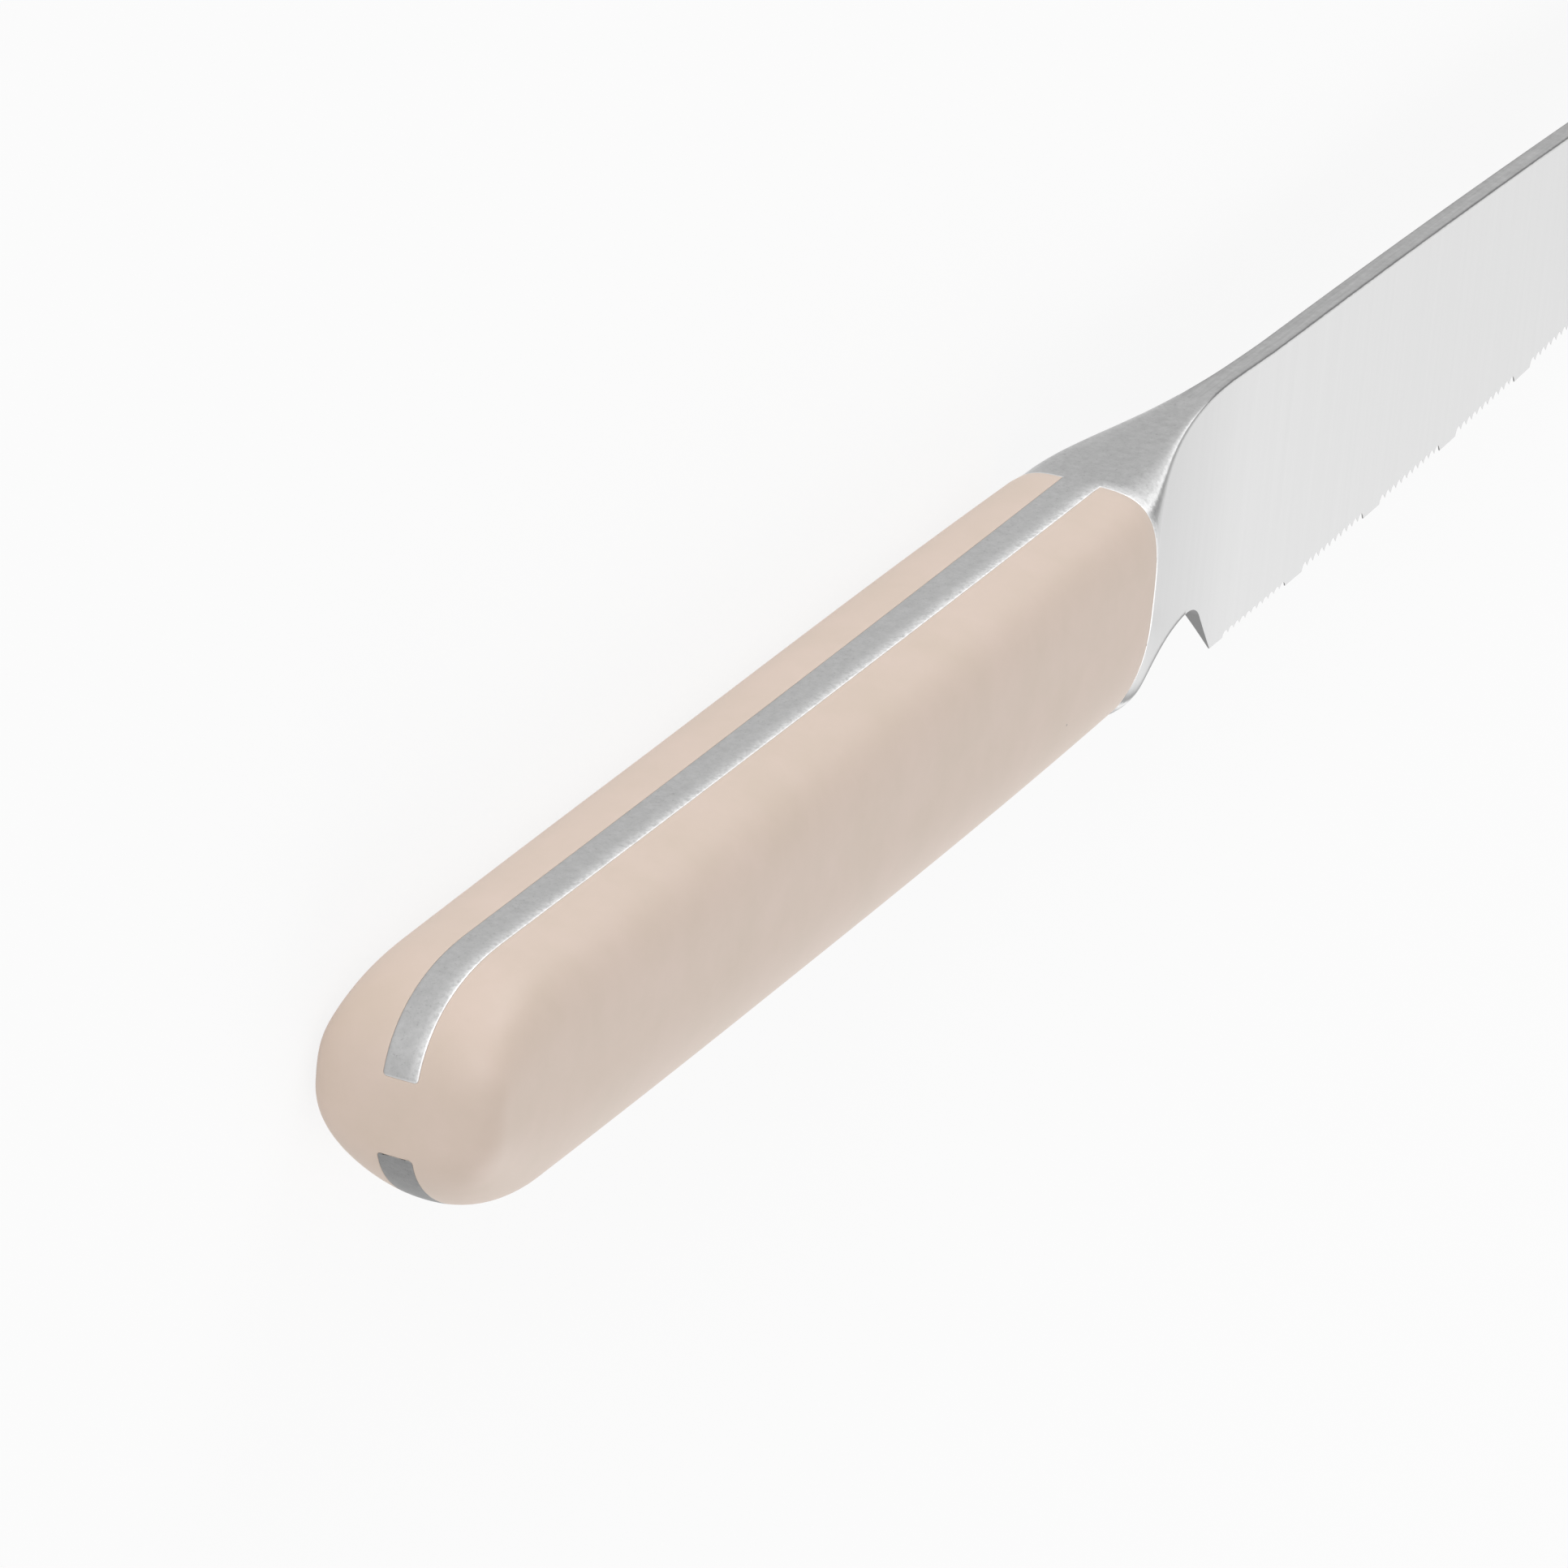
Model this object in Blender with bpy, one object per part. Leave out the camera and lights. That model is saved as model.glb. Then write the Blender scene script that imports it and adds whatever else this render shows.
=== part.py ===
# Serrated utility knife: a ground blade welded to a bolster with a full tang, and a grip
# moulded round the tang.
# The knife lies on its left side on the plane Z = 0. +X points from the butt to the tip,
# +Y from the cutting edge to the spine, and +Z out of the right side. Lengths are metres.
# The drawing below starts at the top of the seam between grip and bolster: x runs to the
# tip, y up to the spine and z out of the right side, with z = 0 on the middle plane.
import math

import bmesh
import bpy
from mathutils import Vector

MM = 0.001

# Grip
GRIP_LENGTH = 107.2 * MM
GRIP_HEIGHT = 19.45 * MM
GRIP_WIDTH_AT_BOLSTER = 13.5 * MM
GRIP_WIDTH_AT_BELLY = 15.7 * MM
GRIP_WIDTH_AT_BUTT = 14.7 * MM
BELLY_FROM_BOLSTER = 63.0 * MM
BACK_DROP_AT_BELLY = 1.07 * MM
BACK_DROP_AT_BUTT = 1.47 * MM
WIDEST_SHARE_OF_HEIGHT = 0.485

# Roundness of the grip's section above and below its widest height, at the bolster and
# from the belly on
BACK_ROUNDNESS_AT_BOLSTER = 4.2
BACK_ROUNDNESS = 3.47
UNDERSIDE_ROUNDNESS_AT_BOLSTER = 2.3
UNDERSIDE_ROUNDNESS = 2.1

# Rounded butt: each corner's length along the knife, its height and its roundness. The corner
# curves would meet a little past the butt's end, which leaves a small flat there.
BUTT_TOP_CORNER = (12.4 * MM, 9.1 * MM, 2.57)
BUTT_BOTTOM_CORNER = (12.2 * MM, 8.1 * MM, 1.67)
BUTT_SIDE_CORNER = (3.15 * MM, 3.2)
BUTT_FLAT_CUT = 0.1 * MM

# Tang, with the windows and the butt notch that lock the plastic
TANG_THICKNESS_AT_BOLSTER = 3.12 * MM
TANG_THICKNESS_AT_BUTT = 2.7 * MM
TANG_WINDOWS = 3
TANG_WINDOW_LENGTH = 14.0 * MM
TANG_WINDOW_HEIGHT = 7.0 * MM
TANG_WINDOW_CORNER = 3.4 * MM
TANG_WINDOW_PITCH = 30.0 * MM
FIRST_WINDOW_FROM_BOLSTER = 21.0 * MM
BUTT_NOTCH_DEPTH = 5.0 * MM
BUTT_NOTCH_HEIGHT = 5.8 * MM
BUTT_NOTCH_BELOW_BACK = 6.23 * MM
BUTT_NOTCH_CORNER = 0.8 * MM

# Bolster
BOLSTER_LENGTH = 20.0 * MM
BOLSTER_RISE = 0.1 * MM
SEAM_RADIUS = 41.0 * MM
SEAM_LEAN = 0.061
SEAM_LIP = 0.3 * MM
FLANK_LENGTH = 28.0 * MM
FLANK_HOLLOW = 2.2
CORNER_SHARPENING = 5.2
SHARPEST_CORNER = 50
CROWN_DEPTH = 17.7 * MM
SLOT_CLEARANCE = 0.3 * MM
WELD_GAP = 0.3 * MM
GRIP_CLEARANCE = 0.3 * MM

# Blade
HEEL_FROM_SEAM = 26.6 * MM
HEEL_DEPTH = 23.05 * MM
BLADE_LENGTH = 139.7 * MM
SPINE_THICKNESS_AT_HEEL = 1.70 * MM
SPINE_THICKNESS_AT_TIP = 1.26 * MM
BLADE_THINNING = 0.5 * MM
THINNING_OVER = 19.0 * MM
EDGE_THICKNESS = 0.1 * MM
BEVEL_HEIGHT = 4.1 * MM
BEVEL_SHARE_AT_TIP = 0.7
SPINE_DROPS = ((0.0, 0.22 * MM), (0.42, 0.40 * MM), (0.82, 1.90 * MM))
ROOT_SETTLE = 16.0 * MM
EDGE_DEPTH_AT_MIDDLE = 19.4 * MM
EDGE_DEPTH_AT_TIP = 10.7 * MM
TIP_CURVE_LENGTH = 38.0 * MM
TIP_CURVE_POWER = 2.3
TIP_BLUNTNESS = 0.3 * MM
TONGUE_LENGTH = 11.0 * MM
TONGUE_HEIGHT = 9.0 * MM
TONGUE_THICKNESS = 1.0 * MM
TONGUE_ROOT = 6.0 * MM

# Finger notch behind the heel
NOTCH_WALL_RUN = 3.0 * MM
NOTCH_WALL_TOP = 19.2 * MM
NOTCH_ARC = math.radians(65)

# Teeth: a smooth stretch at the heel, then groups of scallops with a smooth land after each
HEEL_SMOOTH = 2.4 * MM
TOOTH_PERIOD = 15.0 * MM
LAND_LENGTH = 3.15 * MM
SCALLOPS_IN_GROUP = 11
SCALLOP_DEPTH = 0.55 * MM
FIRST_GROUP_DEPTH_SHARE = 0.75
TOOTH_RECESS = 0.06 * MM
TIP_SMOOTH = 5.0 * MM
SCALLOP_GRIND_ANGLE = math.radians(30)

# Facets
RING_POINTS = 48
BUTT_RINGS = 13
GRIP_RINGS = 11
BOLSTER_RINGS = 15
BLADE_ROOT_RINGS = 8
BLADE_RINGS = 8
TIP_RINGS = 12
ARC_STEPS = 8
CORNER_STEPS = 5
SCALLOP_STEPS = 6
EDGE_STEP = 0.015 * MM
CUTTER_MARGIN = 4.0 * MM

TIP_X = HEEL_FROM_SEAM + BLADE_LENGTH
HALF_SEAM_WIDTH = GRIP_WIDTH_AT_BOLSTER / 2


def clear_scene():
    for item in list(bpy.data.objects):
        bpy.data.objects.remove(item, do_unlink=True)


def new_collection(name):
    collection = bpy.data.collections.new(name)
    bpy.context.scene.collection.children.link(collection)
    return collection


def linear_colour(hex_colour):
    channels = [int(hex_colour[i:i + 2], 16) / 255 for i in (0, 2, 4)]
    return [c / 12.92 if c <= 0.04045 else ((c + 0.055) / 1.055) ** 2.4 for c in channels]


def surface(name, hex_colour, roughness, metallic):
    material = bpy.data.materials.new(name)
    material.use_nodes = True
    shader = material.node_tree.nodes["Principled BSDF"]
    shader.inputs["Base Color"].default_value = (*linear_colour(hex_colour), 1)
    shader.inputs["Roughness"].default_value = roughness
    shader.inputs["Metallic"].default_value = metallic
    material.diffuse_color = (*linear_colour(hex_colour), 1)
    return material


def object_from(bm, name, collection, parent):
    bmesh.ops.recalc_face_normals(bm, faces=bm.faces)
    mesh = bpy.data.meshes.new(name)
    bm.to_mesh(mesh)
    bm.free()
    item = bpy.data.objects.new(name, mesh)
    item.parent = parent
    collection.objects.link(item)
    return item


def make_cutter(item):
    item.hide_render = True
    item.display_type = "WIRE"
    return item


def boolean(item, cutter, operation):
    modifier = item.modifiers.new(cutter.name, "BOOLEAN")
    modifier.operation = operation
    modifier.solver = "EXACT"
    modifier.object = cutter


def finish(item, material, smooth_angle):
    item.data.materials.clear()
    item.data.materials.append(material)
    item.data.shade_smooth()
    item.data.set_sharp_from_angle(angle=math.radians(smooth_angle))


def loft(bm, rings):
    """Skin closed rings of equal count and close both ends with a face."""
    rows = [[bm.verts.new(point) for point in ring] for ring in rings]
    count = len(rings[0])
    for row, following in zip(rows, rows[1:]):
        for i in range(count):
            j = (i + 1) % count
            bm.faces.new((row[i], row[j], following[j], following[i]))
    bm.faces.new(list(reversed(rows[0])))
    bm.faces.new(rows[-1])


def prism(name, outline, low, high, collection, parent, lean=Vector((0, 0, 0))):
    """Extrude an outline of (x, y) points from z = low to z = high, leaning by a vector."""
    bm = bmesh.new()
    floor = bm.faces.new([bm.verts.new((x, y, low)) for x, y in outline])
    grown = bmesh.ops.extrude_face_region(bm, geom=[floor])["geom"]
    raised = [v for v in grown if isinstance(v, bmesh.types.BMVert)]
    bmesh.ops.translate(bm, verts=raised, vec=Vector((0, 0, high - low)) + lean)
    return make_cutter(object_from(bm, name, collection, parent))


def through(stations, x):
    """The smooth curve through three (x, value) stations."""
    (a, va), (b, vb), (c, vc) = stations
    return (va * (x - b) * (x - c) / ((a - b) * (a - c))
            + vb * (x - a) * (x - c) / ((b - a) * (b - c))
            + vc * (x - a) * (x - b) / ((c - a) * (c - b)))


def ease(share):
    share = min(max(share, 0), 1)
    return share * share * (3 - 2 * share)


def corner_drop(distance, length, roundness):
    """How far a rounded corner has fallen, from 0 at its start to 1 at its end."""
    share = min(max(distance / length, 0), 1)
    return 1 - (1 - share ** roundness) ** (1 / roundness)


def butt_drop(x, length, roundness):
    """Share of its height or width that a butt corner has lost at x."""
    return corner_drop(length - GRIP_LENGTH - x, length + BUTT_FLAT_CUT, roundness)


def grip_section(x):
    """Half width, back height and underside height of the grip at x behind the seam."""
    x = min(x, 0)
    back = -through([(0, 0), (-BELLY_FROM_BOLSTER, BACK_DROP_AT_BELLY),
                     (-GRIP_LENGTH, BACK_DROP_AT_BUTT)], x)
    if -x < BELLY_FROM_BOLSTER:
        end_width, share = GRIP_WIDTH_AT_BOLSTER, 1 + x / BELLY_FROM_BOLSTER
    else:
        end_width = GRIP_WIDTH_AT_BUTT
        share = (-x - BELLY_FROM_BOLSTER) / (GRIP_LENGTH - BELLY_FROM_BOLSTER)
    half = (GRIP_WIDTH_AT_BELLY + (end_width - GRIP_WIDTH_AT_BELLY) * share ** 2) / 2
    under = back - GRIP_HEIGHT
    length, height, roundness = BUTT_TOP_CORNER
    back -= height * butt_drop(x, length, roundness)
    length, height, roundness = BUTT_BOTTOM_CORNER
    under += height * butt_drop(x, length, roundness)
    half *= 1 - butt_drop(x, *BUTT_SIDE_CORNER)
    return half, back, under


def grip_roundness(x):
    """Roundness of the grip's section above and below its widest height, at x behind the seam."""
    share = ease(-x / BELLY_FROM_BOLSTER)
    above, below = BACK_ROUNDNESS_AT_BOLSTER, UNDERSIDE_ROUNDNESS_AT_BOLSTER
    return above + (BACK_ROUNDNESS - above) * share, below + (UNDERSIDE_ROUNDNESS - below) * share


def spine_y(x):
    """Height of the spine: level with the bolster's end, then falling in a curve to the tip."""
    drops = [(HEEL_FROM_SEAM + share * BLADE_LENGTH, drop) for share, drop in SPINE_DROPS]
    above = BOLSTER_RISE + through(drops, BOLSTER_LENGTH)
    settled = ease((x - BOLSTER_LENGTH) / ROOT_SETTLE)
    spine = above * (1 - settled) - through(drops, x)
    full_fall = -through(drops, TIP_X) - edge_y(TIP_X) - TIP_BLUNTNESS
    share = max((x - TIP_X + TIP_CURVE_LENGTH) / TIP_CURVE_LENGTH, 0)
    return spine - full_fall * share ** TIP_CURVE_POWER


def edge_y(x):
    """Height of the cutting edge, measured at the lands."""
    middle = HEEL_FROM_SEAM + BLADE_LENGTH / 2
    return -through([(HEEL_FROM_SEAM, HEEL_DEPTH), (middle, EDGE_DEPTH_AT_MIDDLE),
                     (TIP_X, EDGE_DEPTH_AT_TIP)], x)


def blade_half(x, y):
    """Half the blade's thickness. Both sides are true planes."""
    share = (x - HEEL_FROM_SEAM) / BLADE_LENGTH
    spine = SPINE_THICKNESS_AT_HEEL + (SPINE_THICKNESS_AT_TIP - SPINE_THICKNESS_AT_HEEL) * share
    return (spine + BLADE_THINNING * y / THINNING_OVER) / 2


def flank_half(x, y):
    """Half thickness of bolster and blade root: the hollow flank runs into the blade's plane."""
    left_over = max(1 - max(x, 0) / FLANK_LENGTH, 0) ** FLANK_HOLLOW
    return blade_half(x, y) + (HALF_SEAM_WIDTH - blade_half(x, y)) * left_over


def seam_x(y, z):
    """The seam bows towards the tip at the sides of the grip, and leans back towards its belly."""
    bow = SEAM_RADIUS - math.sqrt(max(SEAM_RADIUS ** 2 - z ** 2, 0))
    return bow + SEAM_LEAN * y


def ring(x, half_at, back, under, back_round, under_round, bow):
    """One rounded section, with unlike roundness above and below its widest height."""
    widest = back - (back - under) * WIDEST_SHARE_OF_HEIGHT
    points = []
    for i in range(RING_POINTS):
        angle = 2 * math.pi * i / RING_POINTS
        side, rise = math.cos(angle), math.sin(angle)
        roundness = back_round if rise >= 0 else under_round
        reach = back - widest if rise >= 0 else widest - under
        y = widest + math.copysign(reach * abs(rise) ** (2 / roundness), rise)
        z = math.copysign(half_at(y) * abs(side) ** (2 / roundness), side)
        points.append((x + bow * seam_x(y, z), y, z))
    return points


def grip_stations():
    """Where the grip's rings stand: close together round the butt, then evenly spaced."""
    cap = max(BUTT_TOP_CORNER[0], BUTT_BOTTOM_CORNER[0])
    stations = [cap * (1 - math.cos(math.pi / 2 * i / BUTT_RINGS)) for i in range(BUTT_RINGS + 1)]
    stations += [cap + (GRIP_LENGTH - cap) * i / GRIP_RINGS for i in range(1, GRIP_RINGS)]
    return [along - GRIP_LENGTH for along in stations]


def sharpened(roundness, scoop):
    """Roundness of a bolster corner, which grows crisper as the flanks hollow out."""
    return 1 / ((1 - scoop) ** CORNER_SHARPENING / roundness + 1 / SHARPEST_CORNER)


def handle_rings():
    """Rings of the whole handle: the grip's form from the butt, then the bolster's."""
    rings = []
    for x in grip_stations():
        half, back, under = grip_section(x)
        rings.append(ring(x, lambda y: half, back, under, *grip_roundness(x), 0))
    end = BOLSTER_LENGTH - WELD_GAP / 2
    for i in range(BOLSTER_RINGS):
        x = SEAM_LIP + (end - SEAM_LIP) * i / (BOLSTER_RINGS - 1)
        scoop = (x - SEAM_LIP) / FLANK_LENGTH
        along = ease(x / BOLSTER_LENGTH)
        back = BOLSTER_RISE * along
        under = -GRIP_HEIGHT + (GRIP_HEIGHT - CROWN_DEPTH) * along
        above, below = (sharpened(roundness, scoop) for roundness in grip_roundness(0))
        rings.append(ring(x, lambda y: flank_half(x - SEAM_LIP, y), back, under, above, below,
                          1 - x / end))
    return rings


def side_plan(clearance):
    """Plan of the space of one moulded side: outside the tang and behind the bowed seam."""
    behind = -GRIP_LENGTH - CUTTER_MARGIN
    outside = HALF_SEAM_WIDTH * 2
    inner = TANG_THICKNESS_AT_BOLSTER / 2 + clearance
    inner_behind = TANG_THICKNESS_AT_BUTT / 2 + clearance
    outline = [(behind, inner_behind)]
    for i in range(ARC_STEPS + 1):
        z = inner + (outside - inner) * i / ARC_STEPS
        outline.append((seam_x(0, z) - clearance, z))
    outline.append((behind, outside))
    return outline


def moulded_side(name, clearance, sign, collection, parent):
    """Block of one moulded side, drawn in plan and raised along the knife's height."""
    bm = bmesh.new()
    low, high = -GRIP_HEIGHT - CUTTER_MARGIN, CUTTER_MARGIN
    base = [bm.verts.new((x + SEAM_LEAN * low, low, sign * z)) for x, z in side_plan(clearance)]
    grown = bmesh.ops.extrude_face_region(bm, geom=[bm.faces.new(base)])["geom"]
    raised = [v for v in grown if isinstance(v, bmesh.types.BMVert)]
    bmesh.ops.translate(bm, verts=raised, vec=(SEAM_LEAN * (high - low), high - low, 0))
    return make_cutter(object_from(bm, name, collection, parent))


def slot_outline(centre, length, height, radius):
    """A rectangle with rounded corners, as (x, y) points."""
    outline = []
    for quarter in range(4):
        side_x = 1 if quarter in (0, 3) else -1
        side_y = 1 if quarter in (0, 1) else -1
        corner_x = centre[0] + side_x * (length / 2 - radius)
        corner_y = centre[1] + side_y * (height / 2 - radius)
        for i in range(CORNER_STEPS):
            angle = math.pi / 2 * (quarter + i / (CORNER_STEPS - 1))
            outline.append((corner_x + radius * math.cos(angle),
                            corner_y + radius * math.sin(angle)))
    return outline


def tang_openings(prefix, clearance, reach, collection, parent):
    """Windows and butt notch of the tang, shrunk by a clearance for the plastic in them."""
    openings = []
    for i in range(TANG_WINDOWS):
        x = -FIRST_WINDOW_FROM_BOLSTER - TANG_WINDOW_PITCH * i
        back, under = grip_section(x)[1:]
        outline = slot_outline((x, (back + under) / 2), TANG_WINDOW_LENGTH - 2 * clearance,
                               TANG_WINDOW_HEIGHT - 2 * clearance, TANG_WINDOW_CORNER - clearance)
        name = f"{prefix}_window_{i + 1}"
        openings.append(prism(name, outline, -reach, reach, collection, parent))
    top = -BACK_DROP_AT_BUTT - BUTT_NOTCH_BELOW_BACK
    length = BUTT_NOTCH_DEPTH + CUTTER_MARGIN - clearance
    centre = (-GRIP_LENGTH - CUTTER_MARGIN + length / 2, top - BUTT_NOTCH_HEIGHT / 2)
    outline = slot_outline(centre, length, BUTT_NOTCH_HEIGHT - 2 * clearance,
                           BUTT_NOTCH_CORNER - clearance)
    openings.append(prism(f"{prefix}_notch", outline, -reach, reach, collection, parent))
    return openings


def box(name, low, high, collection, parent):
    bm = bmesh.new()
    bmesh.ops.create_cube(bm, size=1)
    size = Vector(high) - Vector(low)
    middle = (Vector(high) + Vector(low)) / 2
    bmesh.ops.scale(bm, vec=size, verts=bm.verts)
    bmesh.ops.translate(bm, vec=middle, verts=bm.verts)
    return make_cutter(object_from(bm, name, collection, parent))


def tongue_box(name, clearance, front, collection, parent):
    """The blade's tongue, or with a clearance the slot that it seats in."""
    middle = -CROWN_DEPTH / 2
    low = (BOLSTER_LENGTH - TONGUE_LENGTH - clearance, middle - TONGUE_HEIGHT / 2 - clearance,
           -TONGUE_THICKNESS / 2 - clearance)
    high = (front, middle + TONGUE_HEIGHT / 2 + clearance, TONGUE_THICKNESS / 2 + clearance)
    return box(name, low, high, collection, parent)


def make_bolster_tang(parts, cutters, parent, steel):
    bm = bmesh.new()
    loft(bm, handle_rings())
    metal = object_from(bm, "bolster_tang", parts, parent)
    for side, sign in (("right", 1), ("left", -1)):
        boolean(metal, moulded_side(f"grip_space_{side}", 0, sign, cutters, parent), "DIFFERENCE")
    reach = TANG_THICKNESS_AT_BOLSTER
    for opening in tang_openings("tang", 0, reach, cutters, parent):
        boolean(metal, opening, "DIFFERENCE")
    slot = tongue_box("tongue_slot", SLOT_CLEARANCE, BOLSTER_LENGTH + CUTTER_MARGIN, cutters, parent)
    boolean(metal, slot, "DIFFERENCE")
    finish(metal, steel, 35)


def make_grip(parts, cutters, parent, plastic):
    bm = bmesh.new()
    loft(bm, handle_rings())
    grip = object_from(bm, "handle_grip", parts, parent)
    mould = moulded_side("mould_right", GRIP_CLEARANCE, 1, cutters, parent)
    boolean(mould, moulded_side("mould_left", GRIP_CLEARANCE, -1, cutters, parent), "UNION")
    reach = HALF_SEAM_WIDTH / 2
    for opening in tang_openings("mould", GRIP_CLEARANCE, reach, cutters, parent):
        boolean(mould, opening, "UNION")
    boolean(grip, mould, "INTERSECT")
    finish(grip, plastic, 35)


def blade_ring(x):
    """Section of the blade, clockwise: right side, spine, left side, bevel and edge."""
    spine, edge = spine_y(x), edge_y(x)
    shoulder = edge + min(BEVEL_HEIGHT, BEVEL_SHARE_AT_TIP * (spine - edge))
    edge_right = flank_half(x - SEAM_LIP, edge)
    return [(x, spine, flank_half(x - SEAM_LIP, spine)),
            (x, spine, -flank_half(x - SEAM_LIP, spine)),
            (x, shoulder, -flank_half(x - SEAM_LIP, shoulder)),
            (x, edge, edge_right - EDGE_THICKNESS),
            (x, edge, edge_right)]


def walk_edge():
    """Points of the cutting edge by distance from the heel, as (x, y, slope angle)."""
    x, track = HEEL_FROM_SEAM, []
    while x < TIP_X:
        angle = math.atan2(edge_y(x + EDGE_STEP) - edge_y(x), EDGE_STEP)
        track.append((x, edge_y(x), angle))
        x += EDGE_STEP * math.cos(angle)
    return track


def comb_outline():
    """Outline of the tooth cutter at the right side: arched scallops, and below them a margin."""
    track = walk_edge()

    def at(distance, inset):
        x, y, angle = track[min(round(distance / EDGE_STEP), len(track) - 1)]
        return (x - inset * math.sin(angle), y + inset * math.cos(angle))

    length = len(track) * EDGE_STEP
    outside, far_outside = -2 * SCALLOP_DEPTH, -6 * SCALLOP_DEPTH
    group_length = TOOTH_PERIOD - LAND_LENGTH
    pitch = group_length / SCALLOPS_IN_GROUP
    groups = int((length - HEEL_SMOOTH - TIP_SMOOTH + LAND_LENGTH) / TOOTH_PERIOD)
    outline = []
    for group in range(groups):
        start = HEEL_SMOOTH + group * TOOTH_PERIOD
        depth = SCALLOP_DEPTH * (FIRST_GROUP_DEPTH_SHARE if group == 0 else 1)
        outline.append(at(start, outside))
        outline.append(at(start, 0))
        for scallop in range(SCALLOPS_IN_GROUP):
            for i in range(1, SCALLOP_STEPS + 1):
                share = i / SCALLOP_STEPS
                last = scallop == SCALLOPS_IN_GROUP - 1 and i == SCALLOP_STEPS
                inset = 0 if last else TOOTH_RECESS + depth * 4 * share * (1 - share)
                outline.append(at(start + pitch * (scallop + share), inset))
        outline.append(at(start + group_length, outside))
    finish_at = HEEL_SMOOTH + groups * TOOTH_PERIOD - LAND_LENGTH
    for i in range(groups * 2 + 1):
        back = (finish_at - HEEL_SMOOTH) * i / (groups * 2)
        outline.append(at(finish_at - back, far_outside))
    return outline


def notch_outline():
    """The finger notch: flat under the blade's root, then a wall that leans to the heel."""
    wall_top = (HEEL_FROM_SEAM - NOTCH_WALL_RUN, -NOTCH_WALL_TOP)
    start = (BOLSTER_LENGTH - WELD_GAP, -CROWN_DEPTH)
    reach = (wall_top[0] - start[0]) / math.sin(NOTCH_ARC)
    fall = (wall_top[1] - start[1]) / (1 - math.cos(NOTCH_ARC))
    outline = [(start[0] - CUTTER_MARGIN, -CROWN_DEPTH)]
    for i in range(ARC_STEPS + 1):
        angle = NOTCH_ARC * i / ARC_STEPS
        outline.append((start[0] + reach * math.sin(angle),
                        start[1] + fall * (1 - math.cos(angle))))
    slope = NOTCH_WALL_RUN / (HEEL_DEPTH - NOTCH_WALL_TOP)
    outline.append((HEEL_FROM_SEAM, -HEEL_DEPTH))
    outline.append((HEEL_FROM_SEAM + slope * CUTTER_MARGIN, -HEEL_DEPTH - CUTTER_MARGIN))
    outline.append((start[0] - CUTTER_MARGIN, -HEEL_DEPTH - CUTTER_MARGIN))
    return outline


def blade_stations():
    """Where the blade's rings stand: at its root, along its straight body and round its tip."""
    root, body = BOLSTER_LENGTH + WELD_GAP / 2, FLANK_LENGTH + SEAM_LIP
    tip_curve = TIP_X - TIP_CURVE_LENGTH
    stations = [root + (body - root) * i / BLADE_ROOT_RINGS for i in range(BLADE_ROOT_RINGS + 1)]
    stations += [body + (tip_curve - body) * i / BLADE_RINGS for i in range(1, BLADE_RINGS + 1)]
    stations += [tip_curve + TIP_CURVE_LENGTH * i / TIP_RINGS for i in range(1, TIP_RINGS + 1)]
    return stations


def tooth_comb(collection, parent):
    """Cutter of the teeth, leaning as the wheel that grinds them from the left side does."""
    right = blade_half(HEEL_FROM_SEAM, -HEEL_DEPTH)
    low, high = right - SPINE_THICKNESS_AT_HEEL, right + SPINE_THICKNESS_AT_HEEL / 4
    rise = 1 / math.tan(SCALLOP_GRIND_ANGLE)
    outline = [(x, y + (right - low) * rise) for x, y in comb_outline()]
    lean = Vector((0, (low - high) * rise, 0))
    return prism("tooth_comb", outline, low, high, collection, parent, lean)


def make_blade(parts, cutters, parent, steel):
    bm = bmesh.new()
    loft(bm, [blade_ring(x) for x in blade_stations()])
    blade = object_from(bm, "blade", parts, parent)
    reach = HALF_SEAM_WIDTH
    notch = prism("finger_notch", notch_outline(), -reach, reach, cutters, parent)
    boolean(blade, notch, "DIFFERENCE")
    boolean(blade, tooth_comb(cutters, parent), "DIFFERENCE")
    tongue = tongue_box("tongue", 0, BOLSTER_LENGTH + TONGUE_ROOT, cutters, parent)
    boolean(blade, tongue, "UNION")
    finish(blade, steel, 20)


def main():
    clear_scene()
    parts = new_collection("serrated_utility_knife")
    cutters = new_collection("cutters")
    knife = bpy.data.objects.new("knife", None)
    parts.objects.link(knife)
    middle_y = (BOLSTER_RISE - HEEL_DEPTH) / 2
    knife.location = ((GRIP_LENGTH - TIP_X) / 2, -middle_y, GRIP_WIDTH_AT_BELLY / 2)
    make_blade(parts, cutters, knife, surface("satin_ground_steel", "DEDEDF", 0.3, 1.0))
    make_bolster_tang(parts, cutters, knife, surface("blasted_steel", "BEBEC0", 0.45, 1.0))
    make_grip(parts, cutters, knife, surface("blush_plastic", "D9C9BC", 0.42, 0.0))


main()
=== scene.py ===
import math

import bpy
from mathutils import Matrix, Vector


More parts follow.
